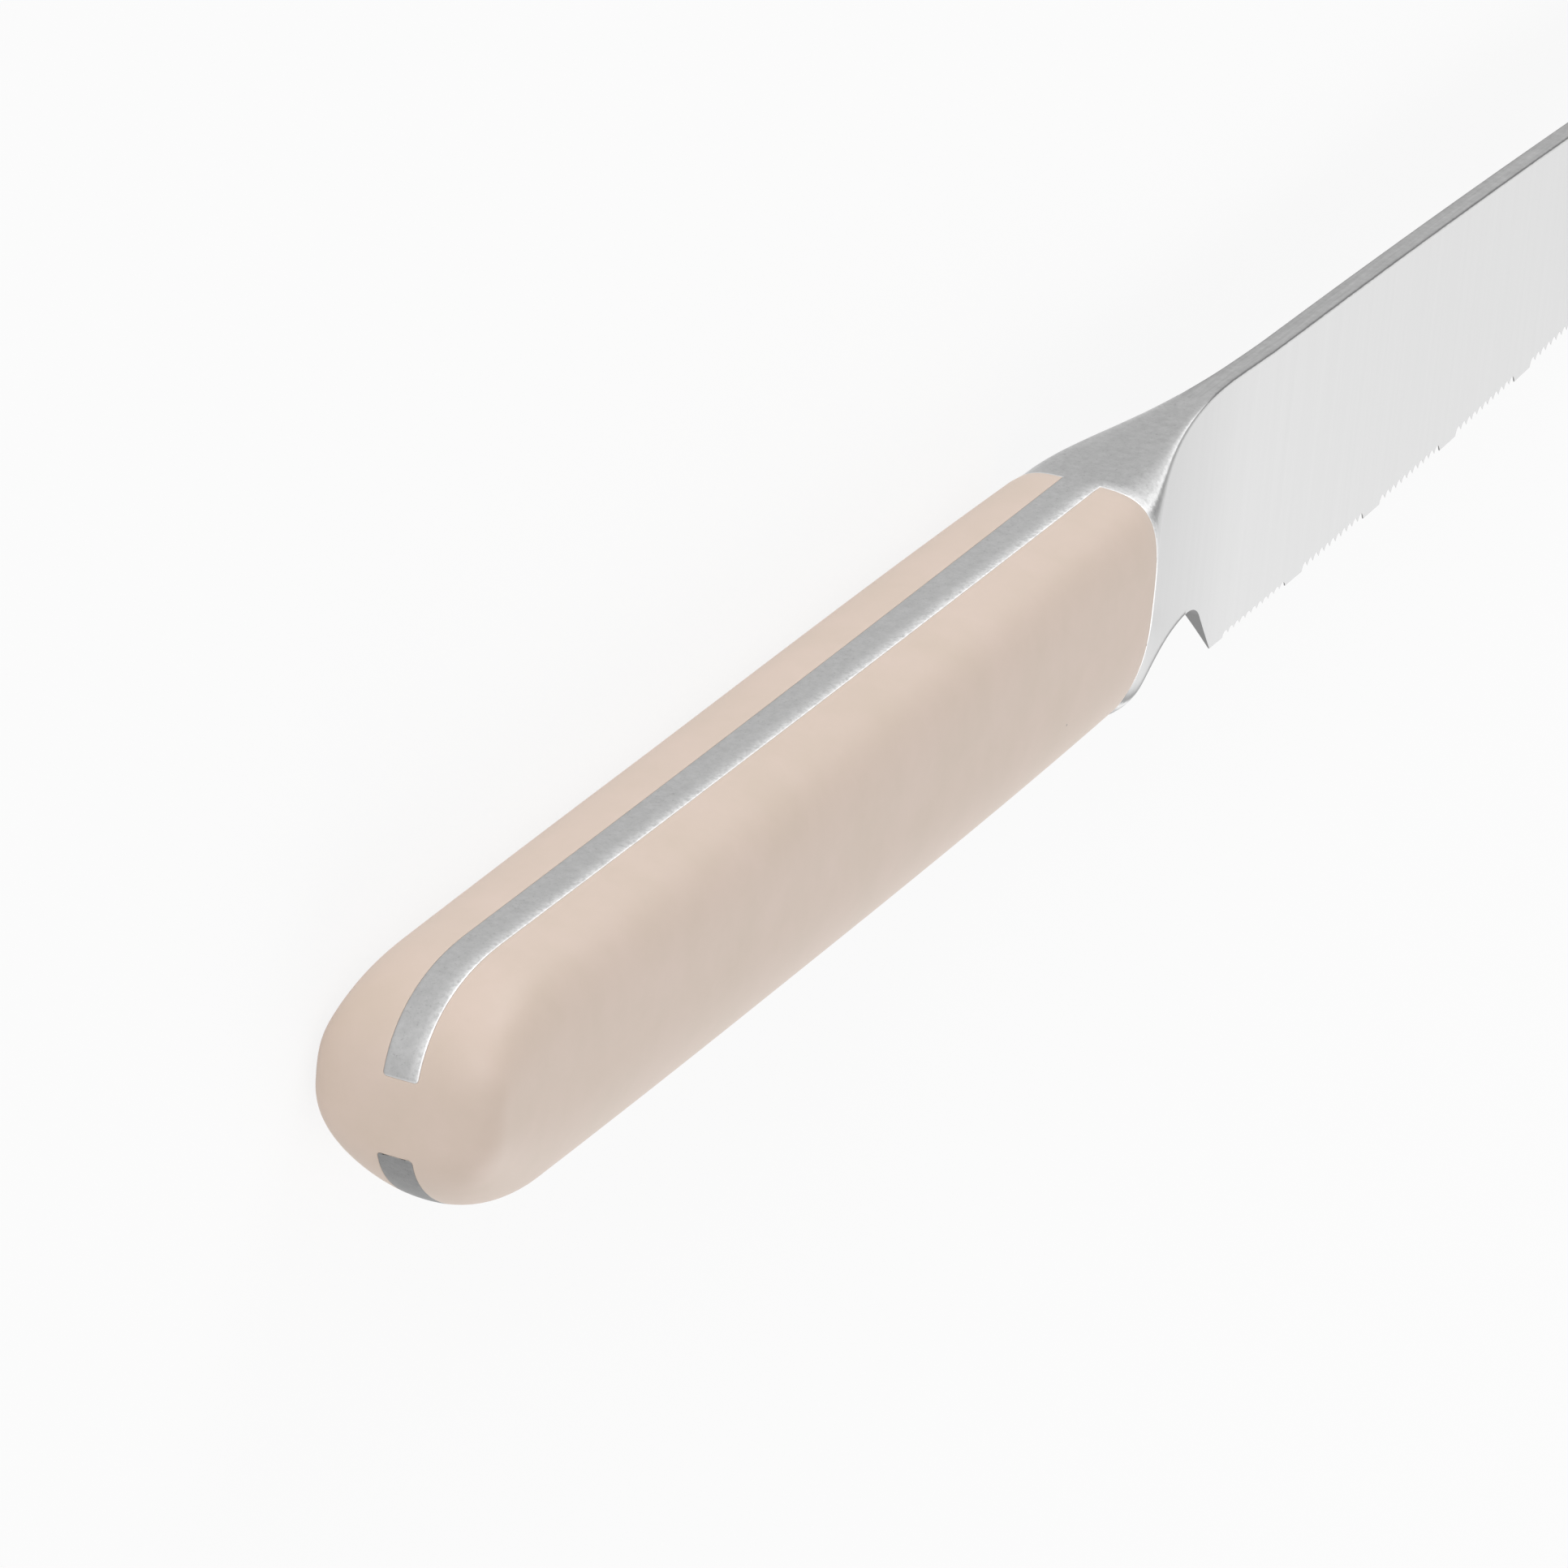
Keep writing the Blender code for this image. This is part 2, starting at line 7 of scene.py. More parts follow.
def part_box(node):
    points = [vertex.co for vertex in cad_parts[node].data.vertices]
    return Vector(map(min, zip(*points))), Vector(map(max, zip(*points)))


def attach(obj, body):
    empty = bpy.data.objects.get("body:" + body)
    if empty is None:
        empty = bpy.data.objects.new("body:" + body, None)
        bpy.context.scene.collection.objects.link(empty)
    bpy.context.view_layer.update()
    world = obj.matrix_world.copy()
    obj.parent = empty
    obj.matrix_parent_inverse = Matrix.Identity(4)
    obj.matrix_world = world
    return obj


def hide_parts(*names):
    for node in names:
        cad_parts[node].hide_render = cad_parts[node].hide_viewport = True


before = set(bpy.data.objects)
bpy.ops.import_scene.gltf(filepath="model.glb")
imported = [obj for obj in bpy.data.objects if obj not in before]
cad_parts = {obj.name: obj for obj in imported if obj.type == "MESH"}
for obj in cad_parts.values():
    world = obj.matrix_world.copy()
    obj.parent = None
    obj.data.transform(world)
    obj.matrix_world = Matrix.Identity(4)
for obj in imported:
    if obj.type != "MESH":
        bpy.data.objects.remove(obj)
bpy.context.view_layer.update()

# The view: over the butt from the spine's side, with a long lens, so that the grip runs up to
# the right and the blade leaves the picture. The knife lies on its left side.
VIEW_PLACE = (-0.79298, 0.35613, 0.33865)
VIEW_RIGHT = (0.44817, 0.07268, 0.89100)
VIEW_UP = (0.33542, 0.91023, -0.24297)
VIEW_BACK = (-0.82865, 0.40774, 0.38355)
LENS_MM = 274.7
SENSOR_MM = 36.0

bpy.ops.object.camera_add()
camera = bpy.context.object
camera.name = "camera"
camera.data.sensor_width = SENSOR_MM
camera.data.lens = LENS_MM
turn = Matrix((VIEW_RIGHT, VIEW_UP, VIEW_BACK)).transposed().to_4x4()
camera.matrix_world = Matrix.Translation(VIEW_PLACE) @ turn
bpy.context.scene.camera = camera
bpy.context.scene.view_settings.view_transform = "Standard"


# The table: a seamless white sheet, sprayed matt. It is cut wide enough that its ends never
# show, and the knife's soft shadow stays on it.
FLOOR_SIZE = 6.0
FLOOR_WHITE = "FCFCFC"
FLOOR_ROUGHNESS = 0.9
SHEET_GLOW = 0.85


def linear(hex_colour):
    """Turns an sRGB hex colour into the linear colour that Blender's sockets take."""
    channels = [int(hex_colour[i:i + 2], 16) / 255 for i in (0, 2, 4)]
    return [c / 12.92 if c <= 0.04045 else ((c + 0.055) / 1.055) ** 2.4 for c in channels] + [1]


def new_material(name):
    """A material with its node tree and its own shader."""
    material = bpy.data.materials.new(name)
    material.use_nodes = True
    return material, material.node_tree, material.node_tree.nodes["Principled BSDF"]


def add_node(tree, kind, settings=None, links=None, stops=()):
    """Adds a node, sets its properties, sockets and colour stops, and links it to other nodes."""
    node = tree.nodes.new(kind)
    for place, colour in stops:
        node.color_ramp.elements.new(place).color = linear(colour)
    if stops:
        node.color_ramp.elements.remove(node.color_ramp.elements[0])
        node.color_ramp.elements.remove(node.color_ramp.elements[-1])
    for key, value in (settings or {}).items():
        if isinstance(key, str) and hasattr(node, key):
            setattr(node, key, value)
        else:
            node.inputs[key].default_value = value
    for key, source in (links or {}).items():
        tree.links.new(source, node.inputs[key])
    return node


bpy.ops.mesh.primitive_plane_add(size=FLOOR_SIZE)
floor = bpy.context.object
floor.name = "white_sheet"
material, tree, shader = new_material("matt_white_sheet")
shader.inputs["Base Color"].default_value = linear(FLOOR_WHITE)
shader.inputs["Roughness"].default_value = FLOOR_ROUGHNESS
# Seen directly, in metal or through glass, the sheet is mostly its own white; its light on the
# knife, and the knife's shadow on it, come from the matt surface
rays = add_node(tree, "ShaderNodeLightPath")
direct = add_node(tree, "ShaderNodeMath", {"operation": "MAXIMUM"},
                  {0: rays.outputs["Is Camera Ray"], 1: rays.outputs["Is Glossy Ray"]})
direct = add_node(tree, "ShaderNodeMath", {"operation": "MAXIMUM"},
                  {0: direct.outputs[0], 1: rays.outputs["Is Transmission Ray"]})
share = add_node(tree, "ShaderNodeMath", {"operation": "MULTIPLY", 1: SHEET_GLOW},
                 {0: direct.outputs[0]})
white = add_node(tree, "ShaderNodeEmission", {"Color": linear("FFFFFF"), "Strength": 1.0})
sheet = add_node(tree, "ShaderNodeMixShader", None,
                 {0: share.outputs[0], 1: shader.outputs[0], 2: white.outputs[0]})
tree.links.new(sheet.outputs[0], tree.nodes["Material Output"].inputs["Surface"])
floor.data.materials.append(material)


# The light: a white room and four soft lamps. A wide one hangs over the edge side, two stand low
# on the spine's side, and a weak one faces the butt.
ROOM_LIGHT = 0.52
LAMPS = (("edge_softbox", (0.6, -1.5, 1.2), 2.4, 18.3),
         ("back_softbox", (0.5, 1.6, 0.25), 1.2, 11.0),
         ("back_fill", (-1.3, 1.2, 0.04), 0.8, 10.5),
         ("butt_lamp", (-1.7, 0.1, 0.12), 1.0, 2.4))

world = bpy.data.worlds.new("white_room")
bpy.context.scene.world = world
world.use_nodes = True
room = world.node_tree
for node in list(room.nodes):
    room.nodes.remove(node)
rays = add_node(room, "ShaderNodeLightPath")
diffuse = add_node(room, "ShaderNodeBackground",
                   {"Color": linear("FFFFFF"), "Strength": ROOM_LIGHT})
seen = add_node(room, "ShaderNodeBackground", {"Color": linear("FFFFFF"), "Strength": 1.0})
mix = add_node(room, "ShaderNodeMixShader", None,
               {0: rays.outputs["Is Diffuse Ray"], 1: seen.outputs[0], 2: diffuse.outputs[0]})
add_node(room, "ShaderNodeOutputWorld", None, {"Surface": mix.outputs[0]})

for name, place, size, power in LAMPS:
    bpy.ops.object.light_add(type="AREA", location=place)
    lamp = bpy.context.object
    lamp.name = name
    lamp.data.size = size
    lamp.data.energy = power
    lamp.rotation_euler = (-Vector(place)).to_track_quat("-Z", "Y").to_euler()


# The grip: one piece of blush polypropylene, moulded round the tang. It leaves the tang's edge
# bare along the back and the underside, fills the tang's windows, and closes over the butt.
MM = 0.001
GRIP_LENGTH = 107.2 * MM
GRIP_HEIGHT = 19.45 * MM
GRIP_WIDTH_AT_BOLSTER = 13.5 * MM
GRIP_WIDTH_AT_BELLY = 15.7 * MM
GRIP_WIDTH_AT_BUTT = 14.7 * MM
BELLY_FROM_BOLSTER = 63.0 * MM
BACK_DROP_AT_BELLY = 1.07 * MM
BACK_DROP_AT_BUTT = 1.47 * MM
WIDEST_SHARE_OF_HEIGHT = 0.485
BACK_ROUNDNESS_AT_BOLSTER = 4.2
BACK_ROUNDNESS = 3.47
UNDERSIDE_ROUNDNESS_AT_BOLSTER = 2.3
UNDERSIDE_ROUNDNESS = 2.1
BUTT_TOP_CORNER = (12.4 * MM, 9.1 * MM, 2.57)
BUTT_BOTTOM_CORNER = (12.2 * MM, 8.1 * MM, 1.67)
BUTT_SIDE_CORNER = (3.15 * MM, 3.2)
TANG_AT_BOLSTER = 3.12 * MM
TANG_AT_BUTT = 2.7 * MM
TANG_WINDOWS = 3
TANG_WINDOW = (14.0 * MM, 7.0 * MM, 3.4 * MM)
TANG_WINDOW_PITCH = 30.0 * MM
FIRST_WINDOW = 21.0 * MM
BUTT_NOTCH = (5.0 * MM, 5.8 * MM, 0.8 * MM)
BUTT_NOTCH_BELOW_BACK = 6.23 * MM
STRIP_END_CORNER = 0.3 * MM
SEAM_RADIUS = 41.0 * MM
SEAM_LEAN = 0.061
BESIDE_JOINT = 0.18 * MM
JOINT_ROUND = 0.06 * MM
HEEL_DEPTH = 23.05 * MM
HALF_SEAM_WIDTH = GRIP_WIDTH_AT_BOLSTER / 2

# Steps of the mesh, and the distances at which its points are merged
BACK_POINTS = 14
SIDE_POINTS = 20
WIDEST_JOINT_SHARES = (0.62, 0.68)
NARROWEST_RING = 1e-6 * MM
BUTT_RINGS = 34
BUTT_CROWDING = 1.25
GRIP_RINGS = 90
SLOT_CORNER_STEPS = 8
SEAM_STEPS = 40
STRIP_END_STEPS = 4
JOINT_ROUND_STEPS = 2
JOINT_ANGLE = math.radians(40)
MARGIN = 4.0 * MM
NEARBY = 0.1 * MM
SAME_POINT = 0.001 * MM
SLIVER = 0.004 * MM

# All places are measured from the top of the seam between grip and bolster
blade_low = Vector(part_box("blade")[0])
grip_low, grip_high = (Vector(corner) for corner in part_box("handle_grip"))
middle_z = (grip_low.z + grip_high.z) / 2
seam_top = Vector((grip_low.x + GRIP_LENGTH, blade_low.y + HEEL_DEPTH, middle_z))


def through(stations, x):
    """The smooth curve through three (x, value) stations."""
    (a, va), (b, vb), (c, vc) = stations
    return (va * (x - b) * (x - c) / ((a - b) * (a - c))
            + vb * (x - a) * (x - c) / ((b - a) * (b - c))
            + vc * (x - a) * (x - b) / ((c - a) * (c - b)))


def ease(share):
    """A share from 0 to 1 that starts and ends gently."""
    share = min(max(share, 0), 1)
    return share * share * (3 - 2 * share)


def corner_drop(distance, length, roundness):
    """How far a rounded corner has fallen, from 0 at its start to 1 at its end."""
    share = min(max(distance / length, 0), 1)
    return 1 - (1 - share ** roundness) ** (1 / roundness)


def grip_section(x):
    """Half width, back height and underside height of the grip at x behind the seam."""
    x = min(x, 0)
    back = -through([(0, 0), (-BELLY_FROM_BOLSTER, BACK_DROP_AT_BELLY),
                     (-GRIP_LENGTH, BACK_DROP_AT_BUTT)], x)
    if -x < BELLY_FROM_BOLSTER:
        end_width, share = GRIP_WIDTH_AT_BOLSTER, 1 + x / BELLY_FROM_BOLSTER
    else:
        end_width = GRIP_WIDTH_AT_BUTT
        share = (-x - BELLY_FROM_BOLSTER) / (GRIP_LENGTH - BELLY_FROM_BOLSTER)
    half = (GRIP_WIDTH_AT_BELLY + (end_width - GRIP_WIDTH_AT_BELLY) * share ** 2) / 2
    under = back - GRIP_HEIGHT
    length, height, roundness = BUTT_TOP_CORNER
    back -= height * corner_drop(length - GRIP_LENGTH - x, length, roundness)
    length, height, roundness = BUTT_BOTTOM_CORNER
    under += height * corner_drop(length - GRIP_LENGTH - x, length, roundness)
    length, roundness = BUTT_SIDE_CORNER
    half *= 1 - corner_drop(length - GRIP_LENGTH - x, length, roundness)
    return half, back, under


def tang_thickness(x):
    """Thickness of the tang at x behind the seam."""
    share = min(max(-x / GRIP_LENGTH, 0), 1)
    return TANG_AT_BOLSTER + (TANG_AT_BUTT - TANG_AT_BOLSTER) * share


def grip_roundness(x):
    """Roundness of the grip's section above and below its widest height, at x behind the seam."""
    share = ease(-x / BELLY_FROM_BOLSTER)
    above, below = BACK_ROUNDNESS_AT_BOLSTER, UNDERSIDE_ROUNDNESS_AT_BOLSTER
    return above + (BACK_ROUNDNESS - above) * share, below + (UNDERSIDE_ROUNDNESS - below) * share


def seam_x(y, z):
    """The seam bows towards the tip at the sides of the grip, and leans back towards its belly."""
    return SEAM_RADIUS - math.sqrt(max(SEAM_RADIUS ** 2 - z ** 2, 0)) + SEAM_LEAN * y


def quarter(roundness, joint_shares):
    """Points of a quarter section as (share of width, share of height), from the back's middle
    to the widest place. They stand beside the tang's edges and crowd at the rounded corner."""
    near, far = joint_shares
    corner = 0.5 ** (1 / roundness)
    wides = [0, near / 3, near * 2 / 3, near, far]
    wides += [far + (corner - far) * math.sin(math.pi / 2 * i / BACK_POINTS)
              for i in range(1, BACK_POINTS + 1)]
    points = [(wide, (1 - wide ** roundness) ** (1 / roundness)) for wide in wides]
    for i in range(1, SIDE_POINTS + 1):
        tall = corner * math.cos(math.pi / 2 * i / SIDE_POINTS)
        points.append(((1 - tall ** roundness) ** (1 / roundness), tall))
    return points


def section(x, half_at, back, under, back_round, under_round, bow):
    """One ring of the handle, from the middle of the back down the right side and up the left."""
    widest = back - (back - under) * WIDEST_SHARE_OF_HEIGHT
    half = max(half_at(widest), NARROWEST_RING) if x <= 0 else HALF_SEAM_WIDTH
    shares = [min((tang_thickness(x) / 2 + side * BESIDE_JOINT) / half, most)
              for side, most in zip((-1, 1), WIDEST_JOINT_SHARES)]
    down = [(wide, widest + (back - widest) * tall) for wide, tall in quarter(back_round, shares)]
    up = [(wide, widest - (widest - under) * tall) for wide, tall in quarter(under_round, shares)]
    right = [(half_at(y) * wide, y) for wide, y in down + up[-2::-1]]
    left = [(-z, y) for z, y in right[-2:0:-1]]
    return [(x + bow * seam_x(y, z), y, z) for z, y in right + left]


def tube_of(name, rings):
    """Rolls a flat grid into a tube through the rings' points and closes both of its ends."""
    bpy.ops.object.select_all(action="DESELECT")
    bpy.ops.mesh.primitive_grid_add(x_subdivisions=len(rings[0]), y_subdivisions=len(rings) - 1)
    tube = bpy.context.object
    tube.name = name
    places = [seam_top + Vector(point) for ring in rings for point in ring + ring[:1]]
    tube.data.vertices.foreach_set("co", [value for place in places for value in place])
    bpy.ops.object.mode_set(mode="EDIT")
    bpy.ops.mesh.select_all(action="SELECT")
    bpy.ops.mesh.remove_doubles(threshold=SAME_POINT)
    bpy.ops.mesh.fill_holes(sides=0)
    bpy.ops.mesh.select_all(action="SELECT")
    bpy.ops.mesh.normals_make_consistent(inside=False)
    bpy.ops.object.mode_set(mode="OBJECT")
    return tube


def slab_of(name, outline, low, high, lean=(0, 0, 0), upright=False):
    """Draws an outline with a many-sided circle and pulls it up to a slab."""
    bpy.ops.object.select_all(action="DESELECT")
    bpy.ops.mesh.primitive_circle_add(vertices=len(outline), fill_type="NGON")
    slab = bpy.context.object
    slab.name = name
    for vertex, (a, b) in zip(slab.data.vertices, outline):
        vertex.co = seam_top + Vector((a, low, b) if upright else (a, b, low))
    rise = Vector((0, high - low, 0) if upright else (0, 0, high - low)) + Vector(lean)
    bpy.ops.object.mode_set(mode="EDIT")
    bpy.ops.mesh.select_all(action="SELECT")
    bpy.ops.mesh.extrude_region_move(TRANSFORM_OT_translate={"value": rise})
    bpy.ops.mesh.select_all(action="SELECT")
    bpy.ops.mesh.normals_make_consistent(inside=False)
    bpy.ops.object.mode_set(mode="OBJECT")
    return slab


def pick(piece):
    """Selects one piece alone and makes it the active one."""
    bpy.ops.object.select_all(action="DESELECT")
    bpy.context.view_layer.objects.active = piece
    piece.select_set(True)


def carve(piece, cutter, operation, keep=False):
    """Applies a Boolean of the piece with the cutter, which is thrown away unless kept."""
    pick(piece)
    modifier = piece.modifiers.new(cutter.name, "BOOLEAN")
    modifier.operation = operation
    modifier.solver = "EXACT"
    modifier.object = cutter
    bpy.ops.object.modifier_apply(modifier=modifier.name)
    # A Boolean leaves its elements in no fixed order, so they are put in one
    bpy.ops.object.mode_set(mode="EDIT")
    bpy.ops.mesh.select_all(action="SELECT")
    bpy.ops.mesh.sort_elements(type="CURSOR_DISTANCE", elements={"VERT", "EDGE", "FACE"})
    bpy.ops.object.mode_set(mode="OBJECT")
    if not keep:
        bpy.data.objects.remove(cutter, do_unlink=True)


def bevel_edges(piece, edges, width, steps):
    """Bevels the given edges of a piece, and no others."""
    mesh = piece.data
    for part in (mesh.vertices, mesh.edges, mesh.polygons):
        part.foreach_set("select", [False] * len(part))
    for edge in edges:
        edge.select = True
        for index in edge.vertices:
            mesh.vertices[index].select = True
    pick(piece)
    bpy.context.tool_settings.mesh_select_mode = (False, True, False)
    bpy.ops.object.mode_set(mode="EDIT")
    bpy.ops.mesh.bevel(offset=width, segments=steps, clamp_overlap=False)
    bpy.ops.object.mode_set(mode="OBJECT")


def round_joint(piece, up_to=math.inf):
    """Breaks the sharp edges of a piece where metal and plastic meet, and shades it."""
    pick(piece)
    bpy.context.tool_settings.mesh_select_mode = (False, True, False)
    bpy.ops.object.mode_set(mode="EDIT")
    bpy.ops.mesh.select_all(action="SELECT")
    bpy.ops.mesh.remove_doubles(threshold=SLIVER)
    bpy.ops.mesh.select_all(action="DESELECT")
    bpy.ops.mesh.edges_select_sharp(sharpness=JOINT_ANGLE)
    bpy.ops.object.mode_set(mode="OBJECT")
    points = [vertex.co - seam_top for vertex in piece.data.vertices]
    sharp = [edge for edge in piece.data.edges
             if edge.select and min(points[index].x for index in edge.vertices) < up_to]
    bevel_edges(piece, sharp, JOINT_ROUND, JOINT_ROUND_STEPS)
    bpy.ops.object.shade_smooth_by_angle(angle=JOINT_ANGLE)


# Rings stand closest at the butt, where the surface turns over to its end
cap = max(BUTT_TOP_CORNER[0], BUTT_BOTTOM_CORNER[0])
stations = [cap * (1 - math.cos(math.pi / 2 * i / BUTT_RINGS)) ** BUTT_CROWDING
            for i in range(BUTT_RINGS + 1)]
stations += [cap + (GRIP_LENGTH - cap) * i / GRIP_RINGS for i in range(1, GRIP_RINGS)]
grip_rings = []
for along in stations:
    x = along - GRIP_LENGTH
    half, back, under = grip_section(x)
    grip_rings.append(section(x, lambda y: half, back, under, *grip_roundness(x), 0))


def slot_outline(centre, size):
    """A rectangle with rounded corners."""
    length, height, radius = size
    outline = []
    for turn in range(4):
        side_x = 1 if turn in (0, 3) else -1
        side_y = 1 if turn in (0, 1) else -1
        for i in range(SLOT_CORNER_STEPS):
            angle = math.pi / 2 * (turn + i / (SLOT_CORNER_STEPS - 1))
            outline.append((centre[0] + side_x * (length / 2 - radius) + radius * math.cos(angle),
                            centre[1] + side_y * (height / 2 - radius) + radius * math.sin(angle)))
    return outline


def round_strip_ends(space):
    """Rounds the corners that the notch cuts into the ends of the bare metal strip."""
    points = [vertex.co - seam_top for vertex in space.data.vertices]
    notch_end = BUTT_NOTCH[0] - GRIP_LENGTH + NEARBY
    corners = []
    for edge in space.data.edges:
        ends = [points[index] for index in edge.vertices]
        if ends[0].z * ends[1].z > 0 and all(
                point.x < notch_end and -GRIP_HEIGHT < point.y < 0
                and abs(abs(point.z) - TANG_AT_BUTT / 2) < NEARBY for point in ends):
            corners.append(edge)
    bevel_edges(space, corners, STRIP_END_CORNER, STRIP_END_STEPS)


def mould():
    """The space that the plastic flows into: both sides of the tang, its windows and its notch."""
    behind, outside = -GRIP_LENGTH - MARGIN, HALF_SEAM_WIDTH * 2
    low, high = -GRIP_HEIGHT - MARGIN, MARGIN
    lean = (SEAM_LEAN * (high - low), 0, 0)
    halves = []
    for sign in (1, -1):
        plan = [(behind, sign * TANG_AT_BUTT / 2)]
        for i in range(SEAM_STEPS + 1):
            z = TANG_AT_BOLSTER / 2 + (outside - TANG_AT_BOLSTER / 2) * i / SEAM_STEPS
            plan.append((seam_x(0, z), sign * z))
        plan.append((behind, sign * outside))
        plan = [(x + SEAM_LEAN * low, z) for x, z in plan]
        halves.append(slab_of("mould_half", plan, low, high, lean, upright=True))
    space = halves[0]
    carve(space, halves[1], "UNION")
    reach = HALF_SEAM_WIDTH / 2
    for i in range(TANG_WINDOWS):
        x = -FIRST_WINDOW - TANG_WINDOW_PITCH * i
        back, under = grip_section(x)[1:]
        outline = slot_outline((x, (back + under) / 2), TANG_WINDOW)
        carve(space, slab_of("window", outline, -reach, reach), "UNION")
    depth, height, radius = BUTT_NOTCH
    top = -BACK_DROP_AT_BUTT - BUTT_NOTCH_BELOW_BACK
    centre = (-GRIP_LENGTH + (depth - MARGIN) / 2, top - height / 2)
    outline = slot_outline(centre, (depth + MARGIN, height, radius))
    carve(space, slab_of("notch", outline, -reach, reach), "UNION")
    round_strip_ends(space)
    return space


# Bolster rings are made here too, because the grip's form runs a little into the bolster before
# the mould trims it at the seam.
BOLSTER_LENGTH = 20.0 * MM
SEAM_LIP = 0.3 * MM
FLANK_LENGTH = 28.0 * MM
FLANK_HOLLOW = 2.2
CORNER_SHARPENING = 5.2
SHARPEST_CORNER = (50, 160)
BOLSTER_RISE = 0.1 * MM
CROWN_DEPTH = 17.7 * MM
HEEL_FROM_SEAM = 26.6 * MM
BLADE_LENGTH = 139.7 * MM
TIP_X = HEEL_FROM_SEAM + BLADE_LENGTH
SPINE_THICKNESS_AT_HEEL = 1.70 * MM
SPINE_THICKNESS_AT_TIP = 1.26 * MM
BLADE_THINNING = 0.5 * MM
THINNING_OVER = 19.0 * MM
SPINE_DROPS = ((0.0, 0.22 * MM), (0.42, 0.40 * MM), (0.82, 1.90 * MM))
ROOT_SETTLE = 16.0 * MM
EDGE_DEPTH_AT_MIDDLE = 19.4 * MM
EDGE_DEPTH_AT_TIP = 10.7 * MM
TIP_CURVE_LENGTH = 38.0 * MM
TIP_CURVE_POWER = 2.3
TIP_BLUNTNESS = 0.3 * MM
BOLSTER_RINGS = 56
RINGS_PAST_SEAM = 6


def edge_y(x):
    """Height of the cutting edge, measured at the lands."""
    middle = HEEL_FROM_SEAM + BLADE_LENGTH / 2
    return -through([(HEEL_FROM_SEAM, HEEL_DEPTH), (middle, EDGE_DEPTH_AT_MIDDLE),
                     (TIP_X, EDGE_DEPTH_AT_TIP)], x)


def spine_y(x):
    """Height of the spine: level with the bolster's end, then falling in a curve to the tip."""
    drops = [(HEEL_FROM_SEAM + share * BLADE_LENGTH, drop) for share, drop in SPINE_DROPS]
    above = BOLSTER_RISE + through(drops, BOLSTER_LENGTH)
    settled = ease((x - BOLSTER_LENGTH) / ROOT_SETTLE)
    full_fall = -through(drops, TIP_X) - edge_y(TIP_X) - TIP_BLUNTNESS
    share = max((x - TIP_X + TIP_CURVE_LENGTH) / TIP_CURVE_LENGTH, 0)
    return above * (1 - settled) - through(drops, x) - full_fall * share ** TIP_CURVE_POWER


def blade_half(x, y):
    """Half the blade's thickness. Both sides are true planes."""
    share = (x - HEEL_FROM_SEAM) / BLADE_LENGTH
    spine = SPINE_THICKNESS_AT_HEEL + (SPINE_THICKNESS_AT_TIP - SPINE_THICKNESS_AT_HEEL) * share
    return (spine + BLADE_THINNING * y / THINNING_OVER) / 2


def flank_half(x, y):
    """Half thickness of bolster and blade root: the hollow flank runs into the blade's plane."""
    left_over = max(1 - max(x, 0) / FLANK_LENGTH, 0) ** FLANK_HOLLOW
    return blade_half(x, y) + (HALF_SEAM_WIDTH - blade_half(x, y)) * left_over


def sharpened(roundness, scoop):
    """Roundness of a bolster corner, which grows crisper as the flanks hollow out."""
    middle, end = SHARPEST_CORNER
    share = min(scoop * FLANK_LENGTH / BOLSTER_LENGTH, 1)
    return 1 / ((1 - scoop) ** CORNER_SHARPENING / roundness + (1 - share) / middle + share / end)


def bolster_section(x):
    """Back height, underside height and the roundness above and below, at x along the bolster."""
    along = ease(x / BOLSTER_LENGTH)
    scoop = (x - SEAM_LIP) / FLANK_LENGTH
    above, below = (sharpened(roundness, scoop) for roundness in grip_roundness(0))
    return (BOLSTER_RISE * along, -GRIP_HEIGHT + (GRIP_HEIGHT - CROWN_DEPTH) * along, above, below)


bolster_rings = []
for i in range(BOLSTER_RINGS + 1):
    x = SEAM_LIP + (BOLSTER_LENGTH - SEAM_LIP) * (i / BOLSTER_RINGS)
    back, under, above, below = bolster_section(x)
    bolster_rings.append(section(x, lambda y: flank_half(x - SEAM_LIP, y), back, under,
                                 above, below, 1 - x / BOLSTER_LENGTH))

plastic_space = mould()
grip = tube_of("moulded_grip", grip_rings + bolster_rings[:RINGS_PAST_SEAM])
carve(grip, plastic_space, "INTERSECT", keep=True)
round_joint(grip)

# Blush polypropylene, as moulded: the pigment is uneven over about 6 mm, a few specks lie some
# 8 mm apart, and the blasted mould left a fine grain, drawn at 0.4 mm so that it shows. It looks
# soft and satin. Each pattern's scale is a count per millimetre.
PIGMENT_TINTS = ((0.3, "D8C6B7"), (0.7, "DECBBE"))
PIGMENT_CLOUDS = 0.17 / MM
SPECK_COLOUR = "9A8D82"
SPECKS = 0.12 / MM
SPECK_SPAN = (0.016, 0.008)
MOULD_GRAIN = 2.6 / MM
MOULD_GRAIN_HEIGHT = 0.01 * MM
MOULD_GRAIN_STRENGTH = 0.35
PLASTIC_ROUGHNESS = (0.4, 0.52)
POLYPROPYLENE_IOR = 1.49


def ranged(tree, value, span=(0.0, 1.0), onto=(0.0, 1.0)):
    """Moves a value from one span onto another, and stops it at the ends."""
    return add_node(tree, "ShaderNodeMapRange",
                    {"From Min": span[0], "From Max": span[1],
                     "To Min": onto[0], "To Max": onto[1]}, {"Value": value}).outputs[0]


